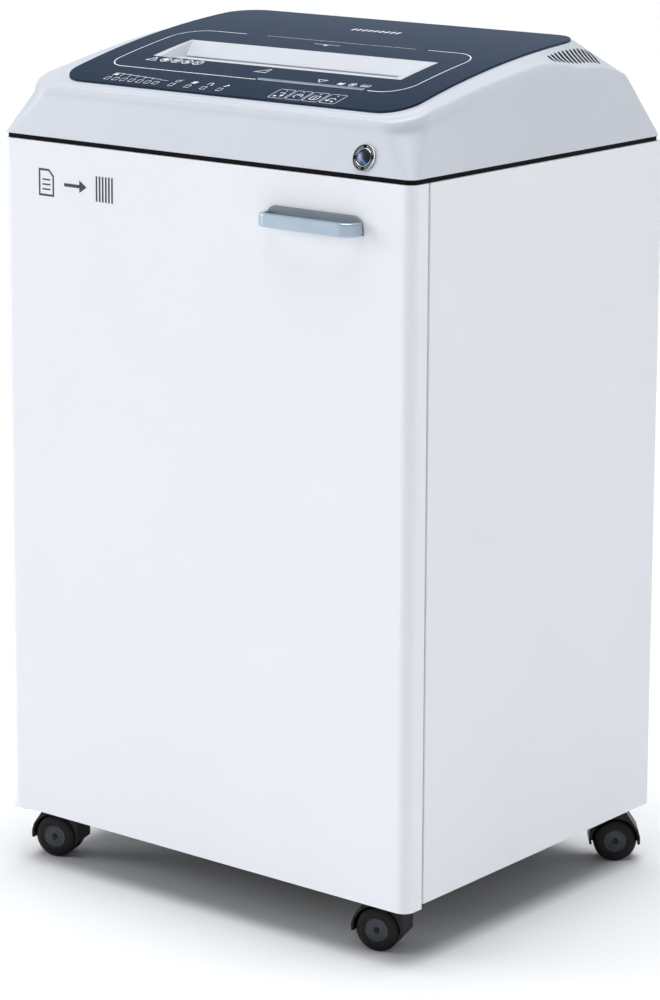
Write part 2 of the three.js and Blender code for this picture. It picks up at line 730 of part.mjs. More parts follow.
// A spur gear outline in (Y, Z) about the origin, one tooth centred on the phase angle.
function gearOutline(teeth, module, phase) {
  const pitch = (teeth * module) / 2;
  const base = pitch * Math.cos(pressure);
  const half = (radius) => Math.PI / (2 * teeth) - backlash / (4 * pitch) + involute(pressure)
    - involute(Math.acos(Math.min(1, base / radius)));
  const root = pitch - 1.3 * module;
  const tip = pitch + 0.92 * module;
  const rootHalf = Math.min(half(Math.max(root, base)), (0.86 * Math.PI) / teeth);
  const flank = [[root, rootHalf], [pitch, half(pitch)], [tip, half(tip)]];
  const outline = [];
  for (let i = 0; i < teeth; i += 1) {
    const centre = phase + (2 * Math.PI * i) / teeth;
    const rise = flank.map(([radius, angle]) => [radius, centre - angle]);
    const fall = flank.map(([radius, angle]) => [radius, centre + angle]).reverse();
    for (const [radius, angle] of [...rise, ...fall]) {
      outline.push([radius * Math.cos(angle), radius * Math.sin(angle)]);
    }
  }
  return outline;
}

function gear(teeth, module, phase, x0, wide, y, z) {
  return barX(gearOutline(teeth, module, phase), x0, x0 + wide).translate([0, y, z]);
}

// Phase of a driven gear that meshes with a gear of known phase, seen along the line of centres.
function meshPhase(phase, teeth, nextTeeth, direction) {
  const way = rad(direction);
  const offset = (phase - way) * (teeth / nextTeeth);
  return way + Math.PI - offset + Math.PI / nextTeeth;
}

const syncPlane = unitOuter + 2;
const drivePlane = syncPlane;
const fastPlane = drivePlane + driveWide + planeGap;
const outerPlate = fastPlane + fastWide + planeGap;

function buildGears() {
  const bore = shaftRadius + 0.05;
  const frontPhase = meshPhase(0, syncTeeth, syncTeeth, 180);
  const sync = { sync_gear_rear: [cutterRearY, 0], sync_gear_front: [cutterFrontY, frontPhase] };
  for (const [name, [y, phase]] of Object.entries(sync)) {
    const blank = gear(syncTeeth, syncModule, phase, syncPlane, syncWide, y, cutterZ);
    add(name, cut(blank, rodX(bore, syncPlane - 1, syncPlane + syncWide + 1, y, cutterZ)), steel);
  }
  const driveBlank = gear(driveTeeth, gearModule, 0, -drivePlane - driveWide, driveWide,
    cutterRearY, cutterZ);
  const driveBore = rodX(bore, -drivePlane - driveWide - 1, -drivePlane + 1,
    cutterRearY, cutterZ);
  add('drive_gear', cut(driveBlank, driveBore), steel);

  const pinionPhase = meshPhase(0, driveTeeth, pinionTeeth, reductionAngle);
  const pinion = gear(pinionTeeth, gearModule, pinionPhase, -fastPlane, fastPlane - drivePlane,
    reductionY, reductionZ);
  const wheel = gear(wheelTeeth, fastModule, 0, -fastPlane - fastWide, fastWide,
    reductionY, reductionZ);
  const pinBore = rodX(reductionPin + runFit, -outerPlate, -unitOuter, reductionY, reductionZ);
  add('reduction_gear', cut(joined(pinion, wheel), pinBore), steel);
  const axle = rodX(reductionPin, -outerPlate - unitPlate + gap, -unitInner - gap, reductionY,
    reductionZ);
  add('reduction_axle', axle, darkSteel);

  const edge = outerPlate + unitPlate;
  const carrier = barX([
    [reductionY - 14, headBase], [motorY + 16, headBase], [motorY + 16, motorZ + 14],
    [motorY - 10, motorZ + 18], [reductionY - 14, reductionZ + 14],
  ], -edge, -outerPlate);
  const feet = joined(
    box(-outerPlate - 1, -unitOuter - gap, motorY + 10, motorY + 16, headBase, headBase + 12),
  );
  const carrierHoles = [
    rodX(reductionPin + gap, -edge - 1, -outerPlate + 1, reductionY, reductionZ),
    rodX(motorShaft + runFit, -edge - 1, -outerPlate + 1, motorY, motorZ),
  ];
  add('gear_carrier', cut(joined(carrier, feet), ...carrierHoles), steel);
}

// ---------------------------------------------------------------- motor and electrics
function buildMotor() {
  const face = -unitInner + gap;
  const end = face + motorLength;
  const outer = motorRadius;
  const bell = motorRadius - 5;
  const bore = motorShaft + runFit;
  const profile = [[face, bore], [face, bell], [face + 24, bell], [face + 24, outer],
    [end - 24, outer], [end - 24, bell], [end, bell], [end, bore], [face, bore]];
  const stator = turnedX(profile, motorY, motorZ, 20);
  const foot = box(face + 30, end - 30, motorY - 26, motorY + 26, headBase,
    motorZ - outer * 0.7);
  add('motor', joined(stator, foot), darkSteel);

  const phase = meshPhase(0, wheelTeeth, motorTeeth, motorAngle);
  const tip = -outerPlate - unitPlate;
  const shaft = rodX(motorShaft, tip, end + 16, motorY, motorZ, 12);
  const pinion = gear(motorTeeth, fastModule, phase, -fastPlane - fastWide, fastWide,
    motorY, motorZ);
  const fan = rodX(fanRadius, end + 3, end + 10, motorY, motorZ, 16);
  add('motor_shaft', joined(shaft, pinion, fan), steel);
}

const boardBehindUnit = 42;
const boardDepthLeast = 72; // room for the relay and the capacitor behind it

function buildElectronics() {
  const motorEnd = -unitInner + motorLength + 30;
  const x0 = motorEnd + 8;
  const x1 = halfWidth - 60;
  const y0 = cutterRearY + cutterRadius + boardBehindUnit;
  const y1 = Math.max(halfDepth - 66, y0 + boardDepthLeast);
  const z = headBase + 9;
  const thick = 1.6;
  let board = box(x0, x1, y0, y1, z, z + thick);
  for (const x of [x0 + 8, x1 - 8]) {
    for (const y of [y0 + 8, y1 - 8]) {
      board = board.add(rodZ(3.5, headBase, z + 0.5, x, y, 10));
    }
  }
  const transformer = box(x0 + 14, x0 + 54, y0 + 14, y0 + 48, z + 1, z + 30);
  const relay = box(x0 + 66, x0 + 86, y0 + 14, y0 + 30, z + 1, z + 18);
  add('control_board', joined(board, transformer, relay), boardGreen);
  const radius = 15;
  const capY = y1 - radius - 8;
  const capacitor = rodX(radius, x0 + 60, x0 + 130, capY, z + thick + gap + radius, 16);
  add('run_capacitor', capacitor, greyPlastic);
}

// Mains inlet and main switch in the back board
const inletX = -innerX + 55;
const inletZ = cabinetTop - 56;
const inletHalf = 14;
const inletTall = 12;
const rockerX = inletX + 52;
const rockerHalf = 7.5;
const rockerTall = 11;
const rockerSwing = 9; // degrees each way

function buildMains() {
  const rear = backBoardFront + backBoard;
  const flange = 2.2;
  const out = rear + gap + flange;
  const body = box(inletX - inletHalf, inletX + inletHalf, rear - 26, rear + gap + 1,
    inletZ - inletTall, inletZ + inletTall);
  const plate = box(inletX - 25, inletX + 25, rear + gap, out, inletZ - 15, inletZ + 15);
  const socket = box(inletX - 12, inletX + 12, rear - 15, out + 1, inletZ - 8, inletZ + 8);
  const pins = [[-7, -1], [0, 3.5], [7, -1]].map(([x, z]) => box(inletX + x - 1,
    inletX + x + 1, rear - 16, rear - 2, inletZ + z - 2.5, inletZ + z + 2.5));
  add('power_inlet', joined(cut(joined(body, plate), socket), ...pins), blackPlastic);

  const frame = box(rockerX - 10, rockerX + 10, rear + gap, out, inletZ - 14, inletZ + 14);
  const cup = box(rockerX - rockerHalf, rockerX + rockerHalf, rear - 18, rear + gap + 1,
    inletZ - rockerTall, inletZ + rockerTall);
  const room = box(rockerX - rockerHalf + 1.2, rockerX + rockerHalf - 1.2, rear - 14, out + 1,
    inletZ - rockerTall + 1.2, inletZ + rockerTall - 1.2);
  add('main_switch', cut(joined(frame, cup), room), blackPlastic);

  const high = rockerTall - 2.4;
  const rocker = barX([
    [out - 7, -high + 2], [out - 0.5, -high], [out - 0.2, 0], [out - 0.5, high],
    [out - 7, high - 2],
  ], rockerX - rockerHalf + 1.6, rockerX + rockerHalf - 1.6).translate([0, 0, inletZ]);
  add('switch_rocker', rocker, blackPlastic);
}

// ---------------------------------------------------------------- casters
// Built about the swivel axis: the trail runs along +X here, and the axle along Y.
function casterPieces() {
  const web = casterWeb / 2;
  const wheelIn = web + 0.6;
  const wheelOut = wheelIn + wheelWide;
  const hoodHalf = wheelOut - 1;
  const inner = wheelRadius + hoodClear;
  const outer = inner + hoodThick;
  const about = (outline) => outline.map(([x, z]) => [casterTrail + x, wheelRadius + z]);
  const hoodTop = doorBottom - 2 * gap - bracketThick - 2;
  const rise = hoodTop - wheelRadius;
  const crown = [[outer * 0.75, outer * 0.66], [outer * 0.42, rise], [-casterTrail - 9, rise],
    [-outer, outer * 0.25]];
  const dome = [...arc(0, 0, outer, -8, 40, 3), ...crown, ...arc(0, 0, outer, 175, 188, 2)];
  const room = [-1, 1].map((side) => rodY(inner, side > 0 ? web : -wheelOut - 1,
    side > 0 ? wheelOut + 1 : -web, casterTrail, wheelRadius, 20));
  const axle = rodY(axleRadius, -wheelOut, wheelOut, casterTrail, wheelRadius, 10);
  const stemHole = rodZ(5 + runFit, hoodTop - 5, hoodTop + 1, 0, 0, 12);
  const hood = cut(joined(cut(slabY(about(dome), -hoodHalf, hoodHalf), ...room), axle), stemHole);
  const stem = joined(
    rodZ(5, hoodTop - 4.5, sideBottom - gap - 1, 0, 0, 12),
    box(-22, 22, -22, 22, sideBottom - gap - 2.7, sideBottom - gap),
  );
  const wheels = [-1, 1].map((side) => {
    const bore = axleRadius + runFit;
    const profile = [[wheelIn, bore], [wheelIn, wheelRadius - 2], [wheelIn + 2.5, wheelRadius],
      [wheelOut - 3.5, wheelRadius], [wheelOut - 0.6, wheelRadius - 4], [wheelOut, 11.5],
      [wheelOut, bore], [wheelIn, bore]];
    const points = profile.map(([y, radius]) => new THREE.Vector2(radius, side * y));
    return solid(new THREE.LatheGeometry(points, 20).translate(casterTrail, 0, wheelRadius));
  });
  return { stem, hood, wheels };
}

function buildCasters() {
  const pieces = casterPieces();
  const x = halfWidth - casterInset;
  const yFront = -halfDepth + casterFront;
  const yBack = halfDepth - casterBack;
  const corners = {
    front_left: [-x, yFront, 197.5],
    front_right: [x, yFront, 197.5],
    rear_left: [-x, yBack, 200],
    rear_right: [x, yBack, 38.5],
  };
  for (const [corner, [px, py, heading]] of Object.entries(corners)) {
    const holder = new THREE.Group();
    holder.position.set(px, py, 0);
    part.add(holder);
    add(`caster_${corner}_stem`, pieces.stem, steel, holder);
    const swivel = new THREE.Group();
    swivel.rotation.z = rad(heading);
    holder.add(swivel);
    add(`caster_${corner}_hood`, pieces.hood, blackPlastic, swivel);
    add(`caster_${corner}_wheel_a`, pieces.wheels[0], tyre, swivel);
    add(`caster_${corner}_wheel_b`, pieces.wheels[1], tyre, swivel);
  }
}

buildCabinet();
buildDoorSwitch();
buildDoor();
buildHandle();
buildCatch();
buildBin();
buildTray();
buildCover();
buildPanel();
buildThroat();
buildBadge();
buildUnitPlates();
buildCutters();
buildCombs();
buildGears();
buildMotor();
buildElectronics();
buildMains();
buildCasters();

// The origin is on the floor, under the middle of everything that stands on it.
const extent = new THREE.Box3().setFromObject(part, true);
part.position.y = -(extent.min.y + extent.max.y) / 2;

export default part;
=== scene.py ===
"""Office paper shredder: finishes, fine shapes, camera and light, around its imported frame."""

import math

import bmesh
import bpy
from mathutils import Matrix, Vector
from mathutils.geometry import interpolate_bezier


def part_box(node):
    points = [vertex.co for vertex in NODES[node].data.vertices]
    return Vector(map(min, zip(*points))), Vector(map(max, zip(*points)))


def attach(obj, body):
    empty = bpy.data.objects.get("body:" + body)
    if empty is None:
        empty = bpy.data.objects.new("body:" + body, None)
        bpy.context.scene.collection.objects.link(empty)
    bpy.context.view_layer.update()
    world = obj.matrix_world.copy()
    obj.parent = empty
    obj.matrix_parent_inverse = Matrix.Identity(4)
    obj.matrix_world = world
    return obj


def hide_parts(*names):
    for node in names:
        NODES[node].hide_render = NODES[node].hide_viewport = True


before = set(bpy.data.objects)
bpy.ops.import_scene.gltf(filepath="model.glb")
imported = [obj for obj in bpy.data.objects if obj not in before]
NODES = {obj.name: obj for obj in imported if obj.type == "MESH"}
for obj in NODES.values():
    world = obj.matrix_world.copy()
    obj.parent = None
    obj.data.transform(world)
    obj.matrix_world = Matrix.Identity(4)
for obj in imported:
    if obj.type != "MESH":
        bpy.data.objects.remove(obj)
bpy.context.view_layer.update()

MM = 0.001


# ---------------------------------------------------------------- small helpers
def linear(hex_colour):
    """An sRGB hex value as linear red, green, blue and alpha."""
    parts = [int(hex_colour[i:i + 2], 16) / 255 for i in (1, 3, 5)]
    return [c / 12.92 if c <= 0.04045 else ((c + 0.055) / 1.055) ** 2.4 for c in parts] + [1.0]


def add_node(tree, kind, inputs=None, **settings):
    """Adds one node with its settings, constants and incoming links."""
    node = tree.nodes.new(kind)
    for name, value in settings.items():
        setattr(node, name, value)
    for key, value in (inputs or {}).items():
        socket = node.inputs[key]
        if isinstance(value, bpy.types.NodeSocket):
            tree.links.new(value, socket)
        else:
            socket.default_value = value
    return node


def reckon(tree, operation, first, second):
    """The output of one Math node."""
    return add_node(tree, "ShaderNodeMath", {0: first, 1: second},
                    operation=operation).outputs[0]


def mesh_of(name, points_mm, faces):
    mesh = bpy.data.meshes.new(name)
    mesh.from_pydata([Vector(p) * MM for p in points_mm], [], faces)
    mesh.update()
    return mesh


def outward(mesh, merge=None):
    """Turns a closed mesh's faces outward, after joining points closer than merge metres."""
    bm = bmesh.new()
    bm.from_mesh(mesh)
    if merge:
        bmesh.ops.remove_doubles(bm, verts=bm.verts, dist=merge)
    bmesh.ops.recalc_face_normals(bm, faces=bm.faces)
    bm.to_mesh(mesh)
    bm.free()
    return mesh


def piece(name, mesh, material, body, replaces=(), sharp=30.0):
    """A finished piece: an object at the origin, shaded, finished and riding on its body."""
    obj = link(mesh)
    obj.name = name
    finish(obj, material, body, replaces, sharp)
    return obj


def finish(obj, material, body, replaces=(), sharp=30.0):
    if material and material.name not in obj.data.materials:
        obj.data.materials.clear()
        obj.data.materials.append(material)
    shade(obj.data, sharp)
    even = obj.modifiers.new("even_faces", "WEIGHTED_NORMAL")
    even.keep_sharp = True
    settled(obj)
    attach(obj, body)
    if replaces:
        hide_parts(*replaces)


def shade(mesh, sharp):
    mesh.shade_smooth()
    mesh.set_sharp_from_angle(angle=math.radians(sharp))


def link(mesh):
    obj = bpy.data.objects.new(mesh.name, mesh)
    bpy.context.scene.collection.objects.link(obj)
    return obj


def settled(obj):
    """Turns an object's modifiers into its plain mesh."""
    graph = bpy.context.evaluated_depsgraph_get()
    mesh = bpy.data.meshes.new_from_object(obj.evaluated_get(graph))
    obj.modifiers.clear()
    obj.data = mesh
    return obj


def cut_away(obj, *cutters):
    """Cuts shapes away; the new walls take the finish of the cutter."""
    for cutter in cutters:
        modifier = obj.modifiers.new("cut", "BOOLEAN")
        modifier.operation = "DIFFERENCE"
        modifier.solver = "EXACT"
        modifier.material_mode = "TRANSFER"
        modifier.object = cutter
    settled(obj)
    for cutter in cutters:
        bpy.data.objects.remove(cutter)
    return obj


def rounded(obj, width_mm, steps=2, angle=32.0):
    """Rounds an object's sharp edges."""
    modifier = obj.modifiers.new("edges", "BEVEL")
    modifier.width = width_mm * MM
    modifier.segments = steps
    modifier.limit_method = "ANGLE"
    modifier.angle_limit = math.radians(angle)
    modifier.use_clamp_overlap = True
    return settled(obj)


def merged_copy(node):
    """A copy of a frame node's mesh with its loose triangles joined into faces."""
    bm = bmesh.new()
    bm.from_mesh(NODES[node].data)
    bmesh.ops.remove_doubles(bm, verts=bm.verts, dist=1e-6)
    bmesh.ops.dissolve_limit(bm, angle_limit=math.radians(0.5), verts=bm.verts, edges=bm.edges)
    mesh = bpy.data.meshes.new(node + "_fine")
    bm.to_mesh(mesh)
    bm.free()
    mesh.materials.clear()
    return mesh


def box_mesh(name, low, high):
    (x0, y0, z0), (x1, y1, z1) = low, high
    points = [(x, y, z) for z in (z0, z1) for x, y in ((x0, y0), (x1, y0), (x1, y1), (x0, y1))]
    faces = [(3, 2, 1, 0), (4, 5, 6, 7)]
    faces += [(i, (i + 1) % 4, (i + 1) % 4 + 4, i + 4) for i in range(4)]
    return mesh_of(name, points, faces)


def turned(name, profile, centre, axis, count=64):
    """A solid turned from (along, radius) pairs about an axis through centre."""
    turn = Vector((0, 0, 1)).rotation_difference(Vector(axis)).to_matrix()
    points, rings, faces = [], [], []
    for along, radius in profile:
        if radius < 1e-6:
            rings.append([len(points)] * count)
            points.append(turn @ Vector((0, 0, along)) + Vector(centre))
            continue
        rings.append(list(range(len(points), len(points) + count)))
        for i in range(count):
            a = 2 * math.pi * i / count
            spoke = Vector((radius * math.cos(a), radius * math.sin(a), along))
            points.append(turn @ spoke + Vector(centre))
    for low, high in zip(rings, rings[1:]):
        for i in range(count):
            j = (i + 1) % count
            face = [low[i], low[j], high[j], high[i]]
            faces.append(list(dict.fromkeys(face)))
    return outward(mesh_of(name, points, faces), 1e-7)


def arc(cx, cy, radius, start, end, steps):
    turn = [math.radians(start + (end - start) * i / steps) for i in range(steps + 1)]
    return [(cx + radius * math.cos(a), cy + radius * math.sin(a)) for a in turn]


def column(name, outline, z0, z1):
    """An upright prism on an outline that runs anticlockwise."""
    n = len(outline)
    points = [(x, y, z) for z in (z0, z1) for x, y in outline]
    faces = [tuple(range(n))[::-1], tuple(range(n, 2 * n))]
    faces += [(i, (i + 1) % n, (i + 1) % n + n, i + n) for i in range(n)]
    return mesh_of(name, points, faces)


def joined_meshes(name, meshes):
    bm = bmesh.new()
    for mesh in meshes:
        bm.from_mesh(mesh)
    mesh = bpy.data.meshes.new(name)
    bm.to_mesh(mesh)
    bm.free()
    return mesh


# ---------------------------------------------------------------- finishes
def base_finish(name, metallic, ior=None):
    material = bpy.data.materials.new(name)
    material.use_nodes = True
    tree = material.node_tree
    shader = tree.nodes["Principled BSDF"]
    shader.inputs["Metallic"].default_value = metallic
    if ior:
        shader.inputs["IOR"].default_value = ior
    place = add_node(tree, "ShaderNodeTexCoord").outputs["Object"]
    return material, tree, shader, place


def tint_by(tree, factor, low_hex, high_hex, low_at=0.1, high_at=0.9):
    ramp = add_node(tree, "ShaderNodeValToRGB", {"Fac": factor})
    ramp.color_ramp.elements[0].position = low_at
    ramp.color_ramp.elements[1].position = high_at
    ramp.color_ramp.elements[0].color = linear(low_hex)
    ramp.color_ramp.elements[1].color = linear(high_hex)
    return ramp.outputs["Color"]


def wire(tree, shader, colour, relief, values):
    """Links colour and relief to the shader and sets its other sockets by name."""
    tree.links.new(colour, shader.inputs["Base Color"])
    if relief:
        tree.links.new(relief.outputs["Normal"], shader.inputs["Normal"])
    for socket, value in values.items():
        shader.inputs[socket].default_value = value


def moulded(name, low_hex, high_hex, rough, grain_mm, relief_mm, cloud_mm=140.0, ior=1.5,
            metallic=0.0, values=None):
    """A surface with fine grain in its relief and a slow drift in colour and gloss."""
    material, tree, shader, place = base_finish(name, metallic, ior)
    grain = add_node(tree, "ShaderNodeTexNoise",
                     {"Vector": place, "Scale": 1000 / grain_mm, "Detail": 3.0})
    cloud = add_node(tree, "ShaderNodeTexNoise",
                     {"Vector": place, "Scale": 1000 / cloud_mm, "Detail": 2.0})
    colour = tint_by(tree, cloud.outputs["Fac"], low_hex, high_hex)
    gloss = add_node(tree, "ShaderNodeMapRange", {
        "Value": cloud.outputs["Fac"], "From Min": 0.1, "From Max": 0.9,
        "To Min": rough * 0.94, "To Max": rough * 1.06})
    relief = add_node(tree, "ShaderNodeBump", {
        "Height": grain.outputs["Fac"], "Distance": relief_mm * MM, "Strength": 0.6})
    wire(tree, shader, colour, relief, values or {})
    tree.links.new(gloss.outputs["Result"], shader.inputs["Roughness"])
    return material


# Melamine-faced chipboard: hard satin white with the shallow pebble of its press plate. The
# pebble is about 0.5 mm on the real board and is drawn at 2.4 mm so that it shows.
melamine = moulded("melamine_faced_board", "#E9EBF0", "#EDEFF3", 0.36, 2.4, 0.012)

# High-gloss acrylic-lacquered door board: whiter, smoother and brighter in its reflections.
lacquer = moulded("lacquered_door_board", "#ECEEF3", "#EFF1F5", 0.26, 6.0, 0.008, 220.0,
                  values={"Coat Weight": 0.25, "Coat Roughness": 0.08})

# Injection-moulded ABS with a fine spark-eroded grain, satin. Grain of 0.3 mm drawn at 1.4 mm.
abs_white = moulded("grained_white_abs", "#C4C9D1", "#C9CED6", 0.4, 1.4, 0.02, 160.0, 1.53)

# Gloss ABS of the feed insert, polished in the mould.
abs_gloss = moulded("polished_white_abs", "#C8CCD4", "#CDD1D8", 0.3, 5.0, 0.006, 90.0, 1.53)

# Black ABS with a coarse grain, which dulls it.
abs_black = moulded("grained_black_abs", "#08080A", "#0C0D10", 0.42, 1.2, 0.03, 60.0, 1.53,
                    values={"Specular IOR Level": 0.25})

# Dark grey polypropylene of the bin: waxy and a little uneven.
bin_plastic = moulded("waxy_grey_polypropylene", "#3A3E45", "#454A52", 0.42, 3.0, 0.05, 120.0,
                      1.49)

# Grey nylon of small fittings.
nylon = moulded("grey_nylon", "#6F7781", "#7C848E", 0.4, 1.0, 0.02, 30.0, 1.53)

# Polyurethane tyre: soft black, matt tread with dust in its pores.
tyre = moulded("black_polyurethane_tyre", "#0B0A0C", "#141315", 0.42, 0.8, 0.05, 18.0,
               values={"Specular IOR Level": 0.22})

# Hub cap of the twin wheels: near-black gloss plastic with a cool cast.
hub_plastic = moulded("gloss_dark_hub", "#20252D", "#2B313B", 0.2, 2.0, 0.01, 12.0, 1.5)

# Zinc-plated sheet steel: dull silver with the faint spangle of the bath, 6 mm across.
zinc = moulded("zinc_plated_steel", "#A9ADB2", "#C1C5C9", 0.36, 6.0, 0.015, 9.0, None, 1.0)

# Case-hardened tool steel of the cutters: dark, oiled, with grinding marks.
tool_steel = moulded("hardened_tool_steel", "#4C4F54", "#6A6E73", 0.3, 0.9, 0.03, 14.0, None, 1.0)

# Sintered steel of the gears: porous and greased.
sintered = moulded("greased_sintered_steel", "#5C5E61", "#7B7D7F", 0.42, 0.7, 0.05, 10.0, None,
                   1.0)

# Backing plate of the handle: plated plastic painted dark grey as painted shade, the shade of the
# pocket behind the bow.
plate_shade_grey = moulded("plate_grey_painted_shade", "#7D8790", "#89939C", 0.42, 1.5, 0.01, 40.0, 1.5, 0.3)

# Lacquered motor can: satin dark grey enamel on drawn steel.
enamel = moulded("dark_enamelled_steel", "#2B2F35", "#343940", 0.33, 1.6, 0.02, 40.0)

# Glass-fibre circuit board under green solder mask.
board_green = moulded("green_solder_mask", "#12472D", "#1B5A39", 0.3, 1.5, 0.03, 7.0, 1.55)

# White aluminium case of the capacitor in a printed sleeve.
sleeve = moulded("white_capacitor_sleeve", "#C9CBC8", "#D6D8D5", 0.35, 2.0, 0.01, 25.0, 1.5)

# White screen-printing ink: thin, matt, slightly uneven where the mesh leaves it.
ink_white = moulded("white_screen_ink", "#D6DEE7", "#E6EDF3", 0.55, 0.9, 0.01, 14.0, 1.5)
ink_grey = moulded("charcoal_screen_ink", "#2B2E34", "#383C43", 0.5, 0.9, 0.01, 14.0, 1.5)

# Walls of the cooling slots: the grey that white plastic takes deep in a narrow slot.
slot_shade = moulded("shaded_slot_wall", "#4A525D", "#535C68", 0.6, 1.4, 0.01, 30.0, 1.5)

# Near-black: painted shade inside vents, gaps and recesses, and also the own black of the tray and
# the badge's dark band.
black_and_painted_shade = moulded("black_moulding_and_painted_shade", "#060708", "#0A0B0D", 0.7, 2.0, 0.01, 40.0,
                     values={"Specular IOR Level": 0.1})


def printed_film():
    """Polycarbonate film printed slate blue on its back: deep, satin and finely embossed; its blue
    lightens from front to back as painted light.
    """
    material, tree, shader, place = base_finish("slate_printed_film", 0.0, 1.58)
    along = add_node(tree, "ShaderNodeSeparateXYZ", {"Vector": place}).outputs["Y"]
    emboss = add_node(tree, "ShaderNodeTexVoronoi", {"Vector": place, "Scale": 1000 / 1.6})
    cloud = add_node(tree, "ShaderNodeTexNoise", {"Vector": place, "Scale": 9.0, "Detail": 3.0})
    wander = reckon(tree, "MULTIPLY", cloud.outputs["Fac"], 0.05)
    reach = add_node(tree, "ShaderNodeMapRange", {
        "Value": reckon(tree, "ADD", along, wander), "From Min": -0.16, "From Max": 0.16})
    # Darker at the front, lighter towards the back: painted light across the sloping film.
    colour = tint_by(tree, reach.outputs["Result"], "#293545", "#424D5D", 0.0, 1.0)
    relief = add_node(tree, "ShaderNodeBump", {
        "Height": emboss.outputs["Distance"], "Distance": 0.02 * MM, "Strength": 0.5})
    wire(tree, shader, colour, relief, {"Roughness": 0.42, "Specular IOR Level": 0.02})
    return material


def silver_lacquer():
    """Metallic silver lacquer on moulded plastic: aluminium flakes give a soft blue sheen."""
    material, tree, shader, place = base_finish("silver_lacquered_plastic", 0.75)
    flake = add_node(tree, "ShaderNodeTexVoronoi", {"Vector": place, "Scale": 1000 / 0.8})
    cloud = add_node(tree, "ShaderNodeTexNoise", {"Vector": place, "Scale": 30.0})
    colour = tint_by(tree, cloud.outputs["Fac"], "#9FB0BF", "#B3C3D0")
    relief = add_node(tree, "ShaderNodeBump", {
        "Height": flake.outputs["Distance"], "Distance": 0.01 * MM, "Strength": 0.35})
    wire(tree, shader, colour, relief,
         {"Roughness": 0.3, "Coat Weight": 0.3, "Coat Roughness": 0.15})
    return material


def brushed_steel(name, low_hex, high_hex, rough, stretch):
    """Steel brushed one way: long fine scratches about 0.3 mm apart, drawn at 1 mm."""
    material, tree, shader, place = base_finish(name, 1.0)
    mapping = add_node(tree, "ShaderNodeMapping", {"Vector": place, "Scale": stretch})
    scratch = add_node(tree, "ShaderNodeTexNoise", {
        "Vector": mapping.outputs["Vector"], "Scale": 1000.0, "Detail": 2.0})
    colour = tint_by(tree, scratch.outputs["Fac"], low_hex, high_hex)
    relief = add_node(tree, "ShaderNodeBump", {
        "Height": scratch.outputs["Fac"], "Distance": 0.015 * MM, "Strength": 0.5})
    wire(tree, shader, colour, relief, {"Roughness": rough})
    return material


def resin_dome():
    """Clear resin cast over a deep blue print under a wet gloss, with a painted highlight: a
    light-blue streak across one side.
    """
    material, tree, shader, place = base_finish("blue_resin_dome", 0.0, 1.52)
    low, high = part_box("badge_lens")
    centre = (Vector(low) + Vector(high)) / 2
    mapping = add_node(tree, "ShaderNodeMapping", {
        "Vector": place, "Location": (-centre.x, -centre.y, -centre.z)})
    parts = add_node(tree, "ShaderNodeSeparateXYZ", {"Vector": mapping.outputs["Vector"]})
    slant = reckon(tree, "MULTIPLY", parts.outputs["X"], 0.8)
    both = reckon(tree, "ADD", slant, parts.outputs["Z"])
    ramp = add_node(tree, "ShaderNodeValToRGB", {"Fac": add_node(
        tree, "ShaderNodeMapRange",
        {"Value": both, "From Min": -0.011, "From Max": 0.009}).outputs["Result"]})
    stops = ramp.color_ramp.elements
    stops[0].color = linear("#0C1830")
    stops[1].color = linear("#060A14")
    # The light-blue stops make a painted highlight across the dome.
    for at, colour in ((0.3, "#0E2240"), (0.4, "#3A7FB0"), (0.48, "#1F5A8E"), (0.56, "#0A1322")):
        stops.new(at).color = linear(colour)
    wire(tree, shader, ramp.outputs["Color"], None,
         {"Roughness": 0.3, "Coat Weight": 0.25, "Coat Roughness": 0.12})
    return material


film = printed_film()
silver = silver_lacquer()
brushed = brushed_steel("brushed_stainless_ring", "#A4A7AB", "#D2D4D6", 0.24, (1, 1, 0.06))
bright_steel = brushed_steel("bright_turned_steel", "#8E9195", "#B9BCC0", 0.2, (0.05, 1, 1))
resin = resin_dome()


# ---------------------------------------------------------------- sizes taken from the frame
def corners_mm(node):
    low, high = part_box(node)
    return Vector(low) / MM, Vector(high) / MM


cover_low, cover_high = corners_mm("head_cover")
panel_low, panel_high = corners_mm("control_panel")
throat_low, throat_high = corners_mm("feed_throat")
HALF_WIDTH = cover_high.x
HALF_DEPTH = (cover_high.y - cover_low.y) / 2
MID_Y = (cover_high.y + cover_low.y) / 2
HEAD_BASE = cover_low.z
FRONT_Y = cover_low.y

SHOULDER_IN = 14.5
SHOULDER_FRONT = 13.0
SHOULDER_BACK = 25.0
SHOULDER_RADIUS = 33.0
RIM_RADIUS = 10.0
HEAD_HEIGHT = 90.5
TOP_RISE = 29.5
TOP_CROWN = 17.5
PANEL_FRONT_RADIUS = 33.0
PANEL_BACK_RADIUS = 35.0
PANEL_LEDGE = 3.0
PANEL_OVER = 2.6
COVER_WALL = 3.0

SHOULDER_LINE = [
    (-0.94, 39.5), (-0.82, 41.5), (-0.66, 47.5), (-0.48, 58), (-0.2, 72), (0, 80.5),
    (0.1, 82), (0.31, 79), (0.51, 77), (0.6, 75), (0.7, 70), (0.8, 64), (0.89, 59.5)]
BAND_PROFILE = [(0, 0), (0.05, 0.42), (0.14, 0.76), (0.3, 0.86), (0.52, 0.885), (0.6, 0.9),
                (0.68, 0.965), (0.78, 0.99), (1, 1)]


